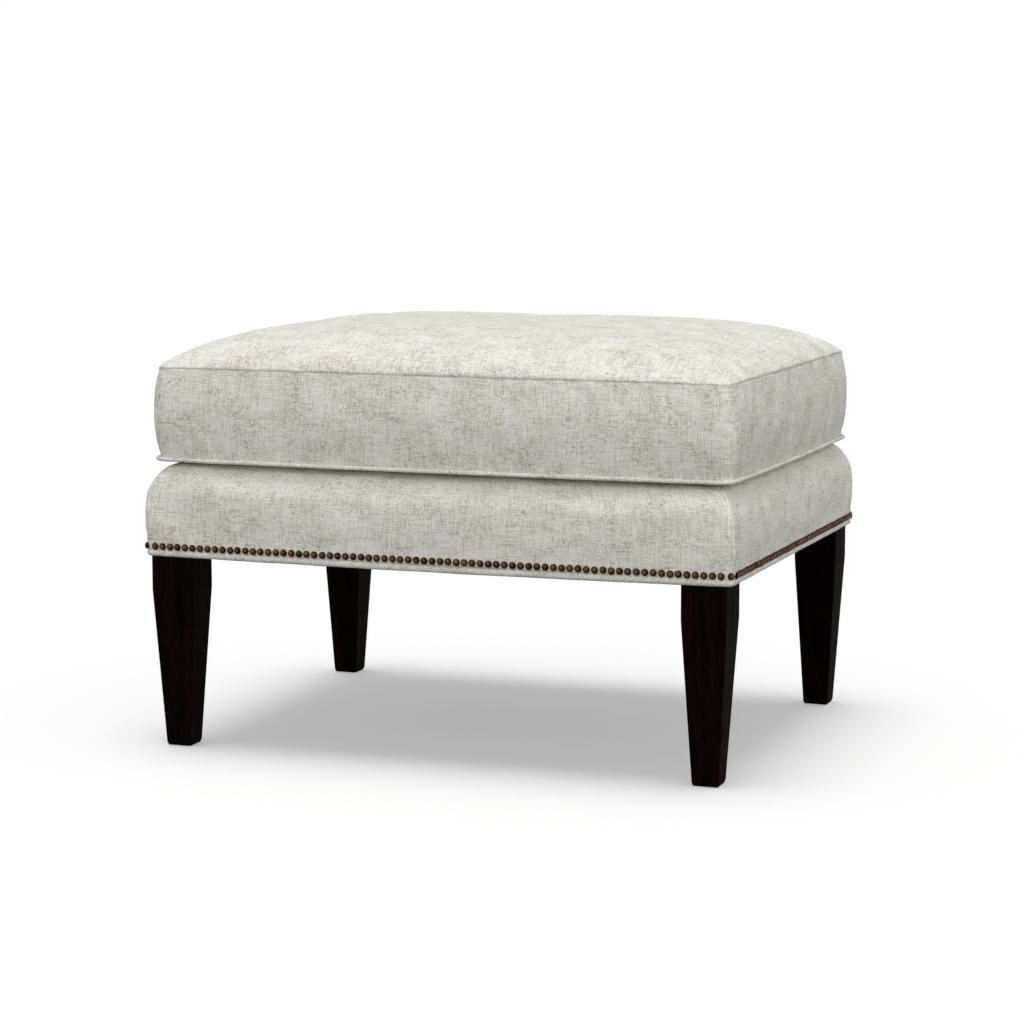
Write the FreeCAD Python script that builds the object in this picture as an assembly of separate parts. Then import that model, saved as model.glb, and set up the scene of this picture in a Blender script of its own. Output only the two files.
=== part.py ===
# Upholstered footstool with a loose box cushion, in millimetres
# Frame: the origin is on the floor under the middle, X runs along the long front,
# the front faces -Y and Z is up

import FreeCAD
import Part
import math
import os

Vector = FreeCAD.Vector

DIAGONAL = math.cos(math.pi / 4)
CORNERS = [(-1, -1), (1, -1), (1, 1), (-1, 1)]
SIDES = ["front", "right", "back", "left"]
SPARE = 20.0  # how far a cutting solid reaches past what it cuts
LEAST_RADIUS = 0.1  # of a corner that other sizes would make sharp
LEAST_BEND = 1e-6  # below this an arc is drawn as a straight edge
EDGE_TOLERANCE = 1e-5  # of the sewn edges of a flat-faced solid

# Clearances
cloth_gap = 0.3  # between soft layers, and between a soft layer and wood
glue_gap = 0.15  # round a dowel in its hole
hole_gap = 0.3  # round a bolt, screw or glide in its hole

# Upholstered base, over the fabric
base_length = 704.0
base_depth = 549.7
base_height = 108.8  # from the underside of the rails to the deck
base_corner_radius = 9.0
side_bulge = 1.3
roll_radius = 42.0  # rounding of the top edge
deck_seam_inset = 60.0  # from the side of the base to the seam of the deck cloth
fabric_thickness = 1.2
pad_thickness = 6.0
edge_roll_width = 42.0

# Flat sides of small round pieces, which keep the facets few
round_sides = 10
cord_sides = 8
screw_sides = 6
nail_sides = 6
nut_sides = 6

# Wooden frame
rail_thickness = 22.0
rail_height = 68.0
stretcher_height = 42.0
dowel_radius = 4.8
dowel_length = 36.0
dowel_edge_distance = 17.0
block_side = 75.0
block_height = 40.0
block_screw_distance = 45.0  # from the corner of the rails
block_screw_grip = 24.0  # wood of the block under the screw head
block_screw_radius = 2.0
block_screw_head_radius = 4.0
block_screw_head_height = 2.5
block_screw_depth = 16.0  # thread in the rail
block_screw_low = 13.0
block_screw_high = 27.0

# Legs
leg_height = 224.6
leg_top_width = 52.2
leg_foot_width = 30.5
leg_straight = 39.3  # square stretch above the taper
leg_arris_radius = 1.5
leg_foot_bevel = 3.5
leg_foot_bevel_inset = 1.1
leg_inset_long = 6.8  # from the side of the base, along X
leg_inset_deep = 2.2  # from the front of the base, along Y
bolt_offset = 14.0  # from the middle of the leg towards the middle of the stool
bolt_radius = 4.0
bolt_leg_depth = 42.0
bolt_end_above_nut = 3.0
washer_radius = 11.0
washer_thickness = 2.0
nut_across_flats = 13.0
nut_height = 6.5
glide_radius = 9.0
glide_recess = 3.0
glide_proud = 0.8
glide_edge_bevel = 0.6

# Springs and deck
spring_count = 5
spring_spacing = 118.0
spring_wire = 3.8
spring_loop_width = 48.0
spring_loop_pitch = 28.0
spring_bend_cut = 8.0
spring_arch = 12.0
spring_seat_inset = 8.0  # from the inner face of the rail to the last bar
clip_sheet = 1.2
clip_width = 14.0
clip_foot = 8.0
insulator_thickness = 3.0
insulator_edge_inset = 2.0
dust_cover_thickness = 0.8
dust_cover_inset = 4.0
dust_cover_leg_gap = 1.0

# Welt and nails along the foot of the base
base_welt_radius = 4.25
base_welt_proud = 1.0
nail_radius = 4.1
nail_crown_radius = 2.1
nail_height = 3.0
nail_pitch = 9.55
nail_row_height = 12.1  # above the underside of the rails
nail_end_inset = 13.0

# Loose cushion
cushion_end_setback = 8.85  # from the end of the base to the seams of the cushion
cushion_front_setback = 13.8  # from the front of the base, and from its back
cushion_corner_radius = 9.0
cushion_underside_rise = 3.0
cushion_underside_inset = 12.0
boxing_height = 105.4
boxing_bulge = 6.5
crown_height = 46.6
crown_edge_power = 4.28  # how boxy the crown is in plan
crown_rise_power = 0.532  # how steeply the crown leaves the seam
front_bow = 6.0  # how far the front seam stands out at its middle
side_bow = 4.0
cushion_welt_radius = 2.5
core_inset = 22.0
core_height = 100.0
core_lift = 14.0  # fibre under the core

# Zip in the back of the cushion
zip_length = 520.0
zip_opening = 9.0
zip_wrap = 26.0  # how far the back boxing reaches round each side
zip_teeth_width = 5.0
zip_teeth_height = 1.6
zip_stop_length = 4.0
slider_length = 11.0
slider_nose_width = 7.4
slider_tail_width = 9.4
slider_wall = 1.0
bridge_length = 7.6
bridge_width = 2.2
bridge_bar = 1.0
tunnel_height = 2.2
pull_bar = 1.3
pull_width = 8.0
pull_arm_width = 1.8
pull_window_length = 6.0
pull_length = 27.0

# Heights and places that follow from the sizes above
rail_bottom = leg_height
rail_top = rail_bottom + rail_height
deck_top = rail_bottom + base_height
roll_start = deck_top - roll_radius
pad_inset = fabric_thickness + cloth_gap
rail_inset = pad_inset + pad_thickness + cloth_gap
rail_half_x = base_length / 2 - rail_inset
rail_half_y = base_depth / 2 - rail_inset
rail_inner_x = rail_half_x - rail_thickness
rail_inner_y = rail_half_y - rail_thickness
edge_roll_inset = rail_inset + edge_roll_width
welt_height = rail_bottom + cloth_gap + base_welt_radius
welt_inset = base_welt_radius - base_welt_proud
welt_bend = max(base_corner_radius - welt_inset, base_welt_radius + cloth_gap)
rail_corner_radius = max(welt_bend - base_welt_radius - cloth_gap, LEAST_RADIUS)
band_bottom = welt_height + base_welt_radius + cloth_gap
nail_level = rail_bottom + nail_row_height
leg_x = base_length / 2 - leg_inset_long - leg_top_width / 2
leg_y = base_depth / 2 - leg_inset_deep - leg_top_width / 2
leg_foot = glide_proud
spring_level = rail_top + clip_sheet + cloth_gap + spring_wire / 2
spring_half_span = rail_inner_y + spring_seat_inset
clip_top = spring_level + spring_wire / 2 + cloth_gap + clip_sheet
insulator_edge_level = clip_top + cloth_gap
insulator_arch = spring_level + spring_arch + spring_wire / 2 + cloth_gap - insulator_edge_level
cushion_length = base_length - 2 * cushion_end_setback
cushion_depth = base_depth - 2 * cushion_front_setback
cushion_bottom = deck_top + cloth_gap
bottom_seam = cushion_bottom + cushion_underside_rise
top_seam = bottom_seam + boxing_height
zip_level = (bottom_seam + top_seam) / 2
back_face = cushion_depth / 2 + boxing_bulge
cover_inset = fabric_thickness + cloth_gap

CUSHION_BOWS = [front_bow, side_bow, 0, side_bow]  # front, right, back along the zip, left


# General shapes

def point_edge(start, end):
    """Straight edge between two points."""
    return Part.LineSegment(Vector(*start), Vector(*end)).toShape()


def arc_edge(start, middle, end):
    """Arc through three points, or a straight edge where they are in line."""
    first = Vector(*middle) - Vector(*start)
    second = Vector(*end) - Vector(*middle)
    if first.cross(second).Length < LEAST_BEND:
        return point_edge(start, end)
    return Part.Arc(Vector(*start), Vector(*middle), Vector(*end)).toShape()


def box_between(low, high):
    """Box from its low corner to its high corner."""
    size = [high[i] - low[i] for i in range(3)]
    return Part.makeBox(size[0], size[1], size[2], Vector(*low))


def polygon_points(sides, radius, height):
    """Corners of a regular polygon about Z; the radius is that of its flats."""
    step = 2 * math.pi / sides
    reach = radius / math.cos(step / 2)
    turns = [step * (number + 0.5) for number in range(sides)]
    return [Vector(reach * math.cos(turn), reach * math.sin(turn), height) for turn in turns]


def faceted_solid(sections, closed=False, twisted=False):
    """Solid of flat faces through sections with as many corners each, of triangles if twisted."""
    count = len(sections[0])
    pairs = list(zip(sections, sections[1:]))
    if closed:
        pairs.append((sections[-1], sections[0]))
    faces = []
    for near, far in pairs:
        for here in range(count):
            there = (here + 1) % count
            patches = [[near[here], near[there], far[there], far[here]]]
            if twisted:
                patches = [patches[0][:3], patches[0][2:] + patches[0][:1]]
            for patch in patches:
                faces.append(Part.Face(Part.makePolygon(patch + patch[:1])))
    if not closed:
        for end in (sections[0], sections[-1]):
            faces.append(Part.Face(Part.makePolygon(end + end[:1])))
    shell = Part.makeCompound(faces)
    shell.sewShape()
    solid = Part.Solid(shell.Shells[0])
    solid.fixTolerance(EDGE_TOLERANCE)
    if solid.Volume < 0:
        solid.reverse()
    return solid


def turned(rings, sides=round_sides):
    """Small turned piece about Z, of flat sides, from the radius and height of its rings."""
    return faceted_solid([polygon_points(sides, radius, height) for radius, height in rings])


def upright_pin(radius, x, y, bottom, top):
    """Upright pin or bore between two heights, of flat sides."""
    pin = turned([(radius, bottom), (radius, top)])
    pin.translate(Vector(x, y, 0))
    return pin


def outline_wire(half_x, half_y, radius, height):
    """Rounded rectangle in plan, with arcs at its corners."""
    cut = radius * (1 - DIAGONAL)
    edges = []
    for corner, following in zip(CORNERS, CORNERS[1:] + CORNERS[:1]):
        x, y = corner
        starts_upright = x * y > 0
        on_side = (x * half_x, y * (half_y - radius), height)
        on_end = (x * (half_x - radius), y * half_y, height)
        middle = (x * (half_x - cut), y * (half_y - cut), height)
        first, last = (on_side, on_end) if starts_upright else (on_end, on_side)
        edges.append(arc_edge(first, middle, last))
        next_x, next_y = following
        next_on_side = (next_x * half_x, next_y * (half_y - radius), height)
        next_on_end = (next_x * (half_x - radius), next_y * half_y, height)
        edges.append(point_edge(last, next_on_side if not starts_upright else next_on_end))
    return Part.Wire(edges)


def outline_stations(half_x, half_y, radius, height, bows):
    """Points round a rounded rectangle whose sides bow outwards, each with its way out."""
    corner_steps = 4
    side_steps = 4
    stations = []
    for corner, bow in zip(CORNERS, bows):
        centre = Vector(corner[0] * (half_x - radius), corner[1] * (half_y - radius), height)
        turn = CORNERS.index(corner) * math.pi / 2 - math.pi
        for step in range(corner_steps + 1):
            angle = turn + math.pi / 2 * step / corner_steps
            out = Vector(math.cos(angle), math.sin(angle), 0)
            stations.append((centre + out * radius, out))
        run = 2 * ((half_x if abs(out.y) > DIAGONAL else half_y) - radius)
        along = Vector(-out.y, out.x, 0)
        for step in range(1, side_steps):
            share = step / side_steps
            rise = bow * (1 - (2 * share - 1) ** 2)
            stations.append((centre + out * (radius + rise) + along * (run * share), out))
    return stations


def at_corner(shape, corner):
    """Copy of a shape made for the right back corner, mirrored to another corner."""
    placed = shape.copy()
    if corner[0] < 0:
        placed = placed.mirror(Vector(0, 0, 0), Vector(1, 0, 0))
    if corner[1] < 0:
        placed = placed.mirror(Vector(0, 0, 0), Vector(0, 1, 0))
    return placed


def at_all_corners(shape):
    """The same shape at each of the four corners."""
    return Part.makeCompound([at_corner(shape, corner) for corner in CORNERS])


# Form of the upholstered base

def base_profile(half, inset, bulge, bottom, place):
    """Closed section of the base: bulging sides, rounded top edges and a flat deck."""
    side = half - inset
    radius = roll_radius - inset
    top = deck_top - inset
    cut = radius * (1 - DIAGONAL)
    middle = (bottom + roll_start) / 2
    edges = [
        arc_edge(place(-side, bottom), place(-side - bulge, middle), place(-side, roll_start)),
        arc_edge(place(-side, roll_start), place(-side + cut, top - cut), place(-side + radius, top)),
        point_edge(place(-side + radius, top), place(side - radius, top)),
        arc_edge(place(side - radius, top), place(side - cut, top - cut), place(side, roll_start)),
        arc_edge(place(side, roll_start), place(side + bulge, middle), place(side, bottom)),
        point_edge(place(side, bottom), place(-side, bottom)),
    ]
    return Part.Face(Part.Wire(edges))


def base_form(inset, bulge, bottom):
    """Outside of the base less an inset, where the front and side rolls meet in a mitre."""
    reach_x = base_length / 2 + SPARE
    reach_y = base_depth / 2 + SPARE
    across = base_profile(
        base_length / 2, inset, bulge, bottom, lambda side, height: (side, -reach_y, height)
    ).extrude(Vector(0, 2 * reach_y, 0))
    along = base_profile(
        base_depth / 2, inset, bulge, bottom, lambda side, height: (-reach_x, side, height)
    ).extrude(Vector(2 * reach_x, 0, 0))
    corner_wire = outline_wire(
        base_length / 2 + bulge - inset,
        base_depth / 2 + bulge - inset,
        max(base_corner_radius + bulge - inset, glue_gap),
        bottom,
    )
    corner_prism = Part.Face(corner_wire).extrude(Vector(0, 0, deck_top - bottom + SPARE))
    return across.common(along).common(corner_prism)


def side_wedge(side, width, bottom):
    """Space over one side of the base, cut at 45 degrees at the corners."""
    half_x = base_length / 2
    half_y = base_depth / 2
    if side in ("left", "right"):
        half_x, half_y = half_y, half_x
    plan = [
        Vector(-half_x - SPARE, -half_y - SPARE, bottom),
        Vector(half_x + SPARE, -half_y - SPARE, bottom),
        Vector(half_x - width, -half_y + width, bottom),
        Vector(-half_x + width, -half_y + width, bottom),
    ]
    wedge = Part.Face(Part.makePolygon(plan + plan[:1]))
    wedge = wedge.extrude(Vector(0, 0, deck_top - bottom + SPARE))
    turn = {"front": 0, "right": 90, "back": 180, "left": 270}[side]
    wedge.rotate(Vector(0, 0, 0), Vector(0, 0, 1), turn)
    return wedge


def arch_under(top_offset):
    """Everything under the arched sheet that lies on the springs, up to an offset."""
    half_x = base_length / 2 - edge_roll_inset
    half_y = rail_half_y - insulator_edge_inset
    level = insulator_edge_level + top_offset
    share = (half_y / spring_half_span) ** 2
    edge_level = level + insulator_arch * (1 - share)
    crown_level = level + insulator_arch
    floor_level = rail_top - SPARE
    section = Part.Wire([
        point_edge((-half_x, half_y, floor_level), (-half_x, -half_y, floor_level)),
        point_edge((-half_x, -half_y, floor_level), (-half_x, -half_y, edge_level)),
        arc_edge(
            (-half_x, -half_y, edge_level), (-half_x, 0, crown_level), (-half_x, half_y, edge_level)
        ),
        point_edge((-half_x, half_y, edge_level), (-half_x, half_y, floor_level)),
    ])
    return Part.Face(section).extrude(Vector(2 * half_x, 0, 0))


# Wooden frame

def dowel_places():
    """Middle and height of each dowel across the rail joints, for the right back corner."""
    x = rail_half_x - rail_thickness / 2
    heights = (rail_bottom + dowel_edge_distance, rail_top - dowel_edge_distance)
    return [(x, rail_inner_y, height) for height in heights]


def dowel(place, gap):
    """Dowel along Y through the joint of two rails, or its hole with a gap."""
    half = dowel_length / 2 + gap
    pin = turned([(dowel_radius + gap, -half), (dowel_radius + gap, half)])
    pin.rotate(Vector(0, 0, 0), Vector(1, 0, 0), -90)
    pin.translate(Vector(*place))
    return pin


def block_screw(gap):
    """Wood screw along +Z from the underside of its head, or its hole with a gap."""
    head = block_screw_head_radius + gap
    shank = block_screw_radius + gap
    head_back = -block_screw_head_height
    length = block_screw_grip + block_screw_depth
    if gap > 0:
        head_back = -block_side
        length += gap
    cap = turned([(head, head_back), (head, 0)], screw_sides)
    rings = [(shank, 0), (shank, length - shank), (shank / 4, length)]
    return cap.fuse(turned(rings, screw_sides))


def block_screws(gap):
    """The two screws of the right back block, one into each rail, or their holes."""
    into_back = block_screw(gap)
    into_back.rotate(Vector(0, 0, 0), Vector(1, 0, 0), -90)
    into_back.translate(Vector(
        rail_inner_x - block_screw_distance,
        rail_inner_y - block_screw_grip,
        rail_bottom + block_screw_low,
    ))
    into_side = block_screw(gap)
    into_side.rotate(Vector(0, 0, 0), Vector(0, 1, 0), 90)
    into_side.translate(Vector(
        rail_inner_x - block_screw_grip,
        rail_inner_y - block_screw_distance,
        rail_bottom + block_screw_high,
    ))
    return [into_back, into_side]


def drilled(shape, holes):
    """A shape with holes cut in it, the holes given for one corner and cut at all four."""
    for hole in holes:
        shape = shape.cut(at_all_corners(hole))
    return shape


def frame_holes():
    """Holes of the dowels and block screws at the right back corner."""
    return [dowel(place, glue_gap) for place in dowel_places()] + block_screws(hole_gap)


def front_or_back_rail(direction):
    """Long rail with eased outer corners, and holes for the dowels and the screws of the blocks."""
    outer = direction * (rail_half_y + SPARE)
    inner = direction * rail_inner_y
    low = (-rail_half_x, min(outer, inner), rail_bottom)
    high = (rail_half_x, max(outer, inner), rail_top)
    outline = outline_wire(rail_half_x, rail_half_y, rail_corner_radius, rail_bottom)
    frame_prism = Part.Face(outline).extrude(Vector(0, 0, rail_height))
    rail = box_between(low, high).common(frame_prism)
    return drilled(rail, frame_holes())


def end_rail(direction):
    """Short rail between the long ones."""
    outer = direction * rail_half_x
    inner = direction * rail_inner_x
    low = (min(outer, inner), -rail_inner_y, rail_bottom)
    high = (max(outer, inner), rail_inner_y, rail_top)
    return drilled(box_between(low, high), frame_holes())


def centre_stretcher():
    """Brace across the middle of the frame, clear of the springs."""
    half = rail_thickness / 2
    top = rail_bottom + stretcher_height
    return box_between((-half, -rail_inner_y, rail_bottom), (half, rail_inner_y, top))


def corner_block():
    """Three-cornered block in the right back corner, bored for the leg bolt and its screws."""
    corner = Vector(rail_inner_x, rail_inner_y, rail_bottom)
    plan = [corner, corner - Vector(block_side, 0, 0), corner - Vector(0, block_side, 0), corner]
    block = Part.Face(Part.makePolygon(plan)).extrude(Vector(0, 0, block_height))
    bolt_x, bolt_y = bolt_place()
    bore = upright_pin(
        bolt_radius + hole_gap, bolt_x, bolt_y, rail_bottom - SPARE, rail_bottom + block_height + SPARE
    )
    block = block.cut(bore)
    for hole in block_screws(hole_gap):
        block = block.cut(hole)
    return block


# Legs and their fixings

def bolt_place():
    """Plan position of the right back leg bolt."""
    return leg_x - bolt_offset, leg_y - bolt_offset


def leg_section(half, height):
    """Square section of the leg with eased arrises."""
    flat = half - leg_arris_radius
    cut = half - leg_arris_radius * (1 - DIAGONAL)
    points = []
    for x, y in CORNERS:
        first = (x * half, y * flat) if x * y > 0 else (x * flat, y * half)
        last = (x * flat, y * half) if x * y > 0 else (x * half, y * flat)
        points += [first, (x * cut, y * cut), last]
    return [Vector(leg_x + x, leg_y + y, height) for x, y in points]


def leg():
    """Right back leg: square above, tapered on four faces below, bevelled at the foot."""
    taper_top = leg_height - leg_straight
    foot_half = leg_foot_width / 2
    top_half = leg_top_width / 2
    slope = (top_half - foot_half) / (taper_top - leg_foot)
    taper = faceted_solid([
        leg_section(foot_half - leg_foot_bevel_inset, leg_foot),
        leg_section(foot_half + slope * leg_foot_bevel, leg_foot + leg_foot_bevel),
        leg_section(top_half, taper_top),
        leg_section(top_half, leg_height),
    ])
    bolt_x, bolt_y = bolt_place()
    bolt_depth = bolt_leg_depth + hole_gap
    bolt_hole = upright_pin(
        bolt_radius + hole_gap, bolt_x, bolt_y, leg_height - bolt_depth, leg_height + SPARE
    )
    glide_hole = upright_pin(
        glide_radius + hole_gap, leg_x, leg_y, leg_foot - SPARE, leg_foot + glide_recess
    )
    return taper.cut(bolt_hole).cut(glide_hole)


def leg_bolt():
    """Hanger bolt from the leg up through the block, washer and nut."""
    bolt_x, bolt_y = bolt_place()
    top = rail_bottom + block_height + washer_thickness + nut_height + bolt_end_above_nut
    return upright_pin(bolt_radius, bolt_x, bolt_y, leg_height - bolt_leg_depth, top)


def leg_washer():
    """Wide washer on top of the block."""
    bolt_x, bolt_y = bolt_place()
    bottom = rail_bottom + block_height
    disc = upright_pin(washer_radius, bolt_x, bolt_y, bottom, bottom + washer_thickness)
    bore = upright_pin(bolt_radius + hole_gap, bolt_x, bolt_y, bottom - SPARE, bottom + SPARE)
    return disc.cut(bore)


def leg_nut():
    """Hexagon nut on the washer."""
    bolt_x, bolt_y = bolt_place()
    bottom = rail_bottom + block_height + washer_thickness
    flat = nut_across_flats / 2
    nut = turned([(flat, bottom), (flat, bottom + nut_height)], nut_sides)
    nut.translate(Vector(bolt_x, bolt_y, 0))
    bore = upright_pin(bolt_radius + hole_gap, bolt_x, bolt_y, bottom - SPARE, bottom + SPARE)
    return nut.cut(bore)


def foot_glide():
    """Glide let into the foot, standing a little proud of it."""
    top = leg_foot + glide_recess - hole_gap
    rim = glide_radius - glide_edge_bevel
    glide = turned([(rim, 0), (glide_radius, glide_edge_bevel), (glide_radius, top)])
    glide.translate(Vector(leg_x, leg_y, 0))
    return glide


# Springs

def spring_height(y):
    """Height of the spring's middle line over its arch."""
    return spring_level + spring_arch * (1 - (y / spring_half_span) ** 2)


def spring_route(x):
    """Points of one zigzag spring: bars across, joined by bends at alternate ends."""
    bars = round(2 * spring_half_span / spring_loop_pitch) + 1
    pitch = 2 * spring_half_span / (bars - 1)
    half = spring_loop_width / 2
    bend_share = spring_bend_cut / pitch
    points = []
    for bar in range(bars):
        end = 1 if bar % 2 == 0 else -1
        y = -spring_half_span + bar * pitch
        height = spring_height(y)
        if bar == 0:
            points.append(Vector(x - end * half, y, height))
        if bar == bars - 1:
            points.append(Vector(x + end * half, y, height))
            break
        step = Vector(0, pitch, spring_height(y + pitch) - height)
        bar_end = Vector(x + end * half, y, height)
        points.append(bar_end - Vector(end * spring_bend_cut, 0, 0))
        points.append(bar_end + step * bend_share)
        points.append(bar_end + step * (1 - bend_share))
        points.append(bar_end + step - Vector(end * spring_bend_cut, 0, 0))
    return points


def square_wire_solid(points, width, tilt):
    """Square wire along straight runs, mitred where they meet, its section tilted at the start."""
    reach = width / 2 / DIAGONAL
    turns = [tilt + math.pi / 4 + math.pi / 2 * number for number in range(4)]
    corners = [points[0] + Vector(0, reach * math.cos(turn), reach * math.sin(turn)) for turn in turns]
    sections = [corners]
    for here in range(1, len(points)):
        run = (points[here] - points[here - 1]).normalize()
        mitre = run
        if here < len(points) - 1:
            mitre = (run + (points[here + 1] - points[here]).normalize()).normalize()
        corners = [
            corner + run * ((points[here] - corner).dot(mitre) / run.dot(mitre)) for corner in corners
        ]
        sections.append(corners)
    return faceted_solid(sections)


def spring_places():
    """X of each spring."""
    return [(number - (spring_count - 1) / 2) * spring_spacing for number in range(spring_count)]


def spring_clip(x, direction):
    """Folded sheet clip that holds the last bar of a spring on its rail."""
    seat = direction * spring_half_span
    inside = spring_wire / 2 + cloth_gap
    outline = [
        (seat - direction * clip_foot, rail_top),
        (seat + direction * (inside + clip_sheet), rail_top),
        (seat + direction * (inside + clip_sheet), clip_top),
        (seat - direction * inside, clip_top),
        (seat - direction * inside, clip_top - clip_sheet),
        (seat + direction * inside, clip_top - clip_sheet),
        (seat + direction * inside, rail_top + clip_sheet),
        (seat - direction * clip_foot, rail_top + clip_sheet),
    ]
    corners = [Vector(x - clip_width / 2, y, height) for y, height in outline]
    return Part.Face(Part.makePolygon(corners + corners[:1])).extrude(Vector(clip_width, 0, 0))


# Soft layers of the base

def fabric_bands():
    """The four pieces of the cover of the base, sewn at the corners."""
    shell = base_form(0, side_bulge, band_bottom)
    shell = shell.cut(base_form(fabric_thickness, side_bulge, band_bottom - SPARE))
    return {side: shell.common(side_wedge(side, deck_seam_inset, band_bottom)) for side in SIDES}


def border_pads():
    """Wadding between the cover and the rails, over the edge roll."""
    shell = base_form(pad_inset, side_bulge, band_bottom)
    shell = shell.cut(base_form(rail_inset - cloth_gap, 0, band_bottom - SPARE))
    return {side: shell.common(side_wedge(side, edge_roll_inset, band_bottom)) for side in SIDES}


def edge_rolls():
    """Firm roll on top of the rails that gives the base its rounded edge."""
    bottom = rail_top + cloth_gap
    reach = base_length
    below = box_between((-reach, -reach, 0), (reach, reach, bottom))
    form = base_form(rail_inset, 0, band_bottom).cut(below)
    form = form.cut(arch_under(insulator_thickness + cloth_gap))
    return {side: form.common(side_wedge(side, edge_roll_inset, bottom)) for side in SIDES}


def deck_foam():
    """Foam slab inside the edge roll, arched underneath to lie on the springs."""
    half_x = base_length / 2 - edge_roll_inset - cloth_gap
    half_y = base_depth / 2 - edge_roll_inset - cloth_gap
    top = deck_top - fabric_thickness - cloth_gap
    slab = box_between((-half_x, -half_y, rail_top), (half_x, half_y, top))
    return slab.cut(arch_under(insulator_thickness + cloth_gap))


def deck_cloth():
    """Plain cloth under the cushion, sewn to the bands."""
    half_x = base_length / 2 - deck_seam_inset - cloth_gap
    half_y = base_depth / 2 - deck_seam_inset - cloth_gap
    bottom = deck_top - fabric_thickness
    return box_between((-half_x, -half_y, bottom), (half_x, half_y, deck_top))


def dust_cover():
    """Thin cloth under the frame, cut round the legs."""
    half_x = rail_half_x - dust_cover_inset
    half_y = rail_half_y - dust_cover_inset
    bottom = rail_bottom - dust_cover_thickness
    sheet = box_between((-half_x, -half_y, bottom), (half_x, half_y, rail_bottom))
    clear = leg_top_width / 2 + dust_cover_leg_gap
    notch = box_between(
        (leg_x - clear, leg_y - clear, bottom - SPARE),
        (leg_x + clear + SPARE, leg_y + clear + SPARE, rail_bottom + SPARE),
    )
    return sheet.cut(at_all_corners(notch))


def cord_round(half_x, half_y, corner_radius, height, bows, radius):
    """Covered cord of flat sides round a rounded rectangle whose sides bow outwards."""
    sections = []
    for middle, out in outline_stations(half_x, half_y, corner_radius, height, bows):
        ring = polygon_points(cord_sides, radius, 0)
        sections.append([middle + out * point.x + Vector(0, 0, point.y) for point in ring])
    return faceted_solid(sections, closed=True)


def base_welt():
    """Welt along the foot of the base."""
    half_x = base_length / 2 - welt_inset
    half_y = base_depth / 2 - welt_inset
    return cord_round(half_x, half_y, welt_bend, welt_height, (0, 0, 0, 0), base_welt_radius)


# Nails

def bulge_at(height):
    """How far the side of the base stands out at a height."""
    share = (height - band_bottom) / (roll_start - band_bottom)
    return 4 * side_bulge * share * (1 - share)


def nail():
    """Domed nail head of flat sides, its back at the origin and its crown towards -Y."""
    head = turned([(nail_radius, 0), (nail_crown_radius, nail_height)], nail_sides)
    head.rotate(Vector(0, 0, 0), Vector(1, 0, 0), 90)
    return head


def nail_row(half_along, half_out, turn):
    """Evenly spaced nails along one side."""
    run = 2 * (half_along - nail_end_inset)
    gaps = round(run / nail_pitch)
    seat = half_out + bulge_at(nail_level + nail_radius) + glue_gap
    row = []
    for number in range(gaps + 1):
        head = nail()
        head.translate(Vector(-run / 2 + run * number / gaps, -seat, nail_level))
        head.rotate(Vector(0, 0, 0), Vector(0, 0, 1), turn)
        row.append(head)
    return row


def corner_nail(corner):
    """Nail on the rounded corner of the base."""
    centre_x = base_length / 2 - base_corner_radius
    centre_y = base_depth / 2 - base_corner_radius
    reach = (base_corner_radius + side_bulge + glue_gap) * DIAGONAL
    turn = math.degrees(math.atan2(corner[1], corner[0])) + 90
    head = nail()
    head.rotate(Vector(0, 0, 0), Vector(0, 0, 1), turn)
    head.translate(Vector(corner[0] * (centre_x + reach), corner[1] * (centre_y + reach), nail_level))
    return head


def nail_rows():
    """Nail heads of each side; the front and back rows take the corner nails."""
    half_x = base_length / 2
    half_y = base_depth / 2
    corners = [corner_nail(corner) for corner in CORNERS]
    return {
        "front": nail_row(half_x, half_y, 0) + corners[:2],
        "right": nail_row(half_y, half_x, 90),
        "back": nail_row(half_x, half_y, 180) + corners[2:],
        "left": nail_row(half_y, half_x, 270),
    }


# Loose cushion

def cushion_ring(grow, extra_radius, height, share=1.0):
    """Plan outline of the cushion, bowed at the front and ends and straight along the zip."""
    stations = outline_stations(
        share * cushion_length / 2 + grow,
        share * cushion_depth / 2 + grow,
        max(cushion_corner_radius + extra_radius, cloth_gap),
        height,
        [share * bow for bow in CUSHION_BOWS],
    )
    return [point for point, out in stations]


def crown_share(fullness, power):
    """Share of the plan that the crown still has at a share of its height."""
    return (1 - fullness ** (power / crown_rise_power)) ** (1 / crown_edge_power)


def crown_form(inset):
    """Crown of the cushion above its top seam: full in the middle, steep at the seam."""
    rings = []
    levels = 7
    for level in range(levels):
        fullness = math.sin(math.pi / 2 * level / levels)
        along = crown_share(fullness, 1.0)
        diagonal = crown_share(fullness, 0.5)
        half = (cushion_length + cushion_depth) / 4
        rounding = (along - diagonal) * half / (1 - DIAGONAL)
        height = top_seam + (crown_height - inset) * fullness
        rings.append(cushion_ring(-inset, rounding - inset, height, along))
    return faceted_solid(rings, twisted=True)


def boxing_form(inset):
    """Side of the cushion between its seams, swelling at mid height."""
    rings = []
    levels = 5
    for level in range(levels):
        share = level / (levels - 1)
        swell = boxing_bulge * math.sin(math.pi * share)
        rings.append(cushion_ring(swell - inset, swell - inset, bottom_seam + boxing_height * share))
    return faceted_solid(rings, twisted=True)


def underside_form(inset):
    """Underside of the cushion, flat where it rests and drawn up to the bottom seam."""
    rings = [
        cushion_ring(-cushion_underside_inset, 0, cushion_bottom + inset),
        cushion_ring(-inset, -inset, bottom_seam),
    ]
    return faceted_solid(rings, twisted=True)


def cushion_core():
    """Foam block in the middle of the cushion."""
    half_x = cushion_length / 2 - core_inset
    half_y = cushion_depth / 2 - core_inset
    bottom = cushion_bottom + core_lift
    return box_between((-half_x, -half_y, bottom), (half_x, half_y, bottom + core_height))


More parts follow.
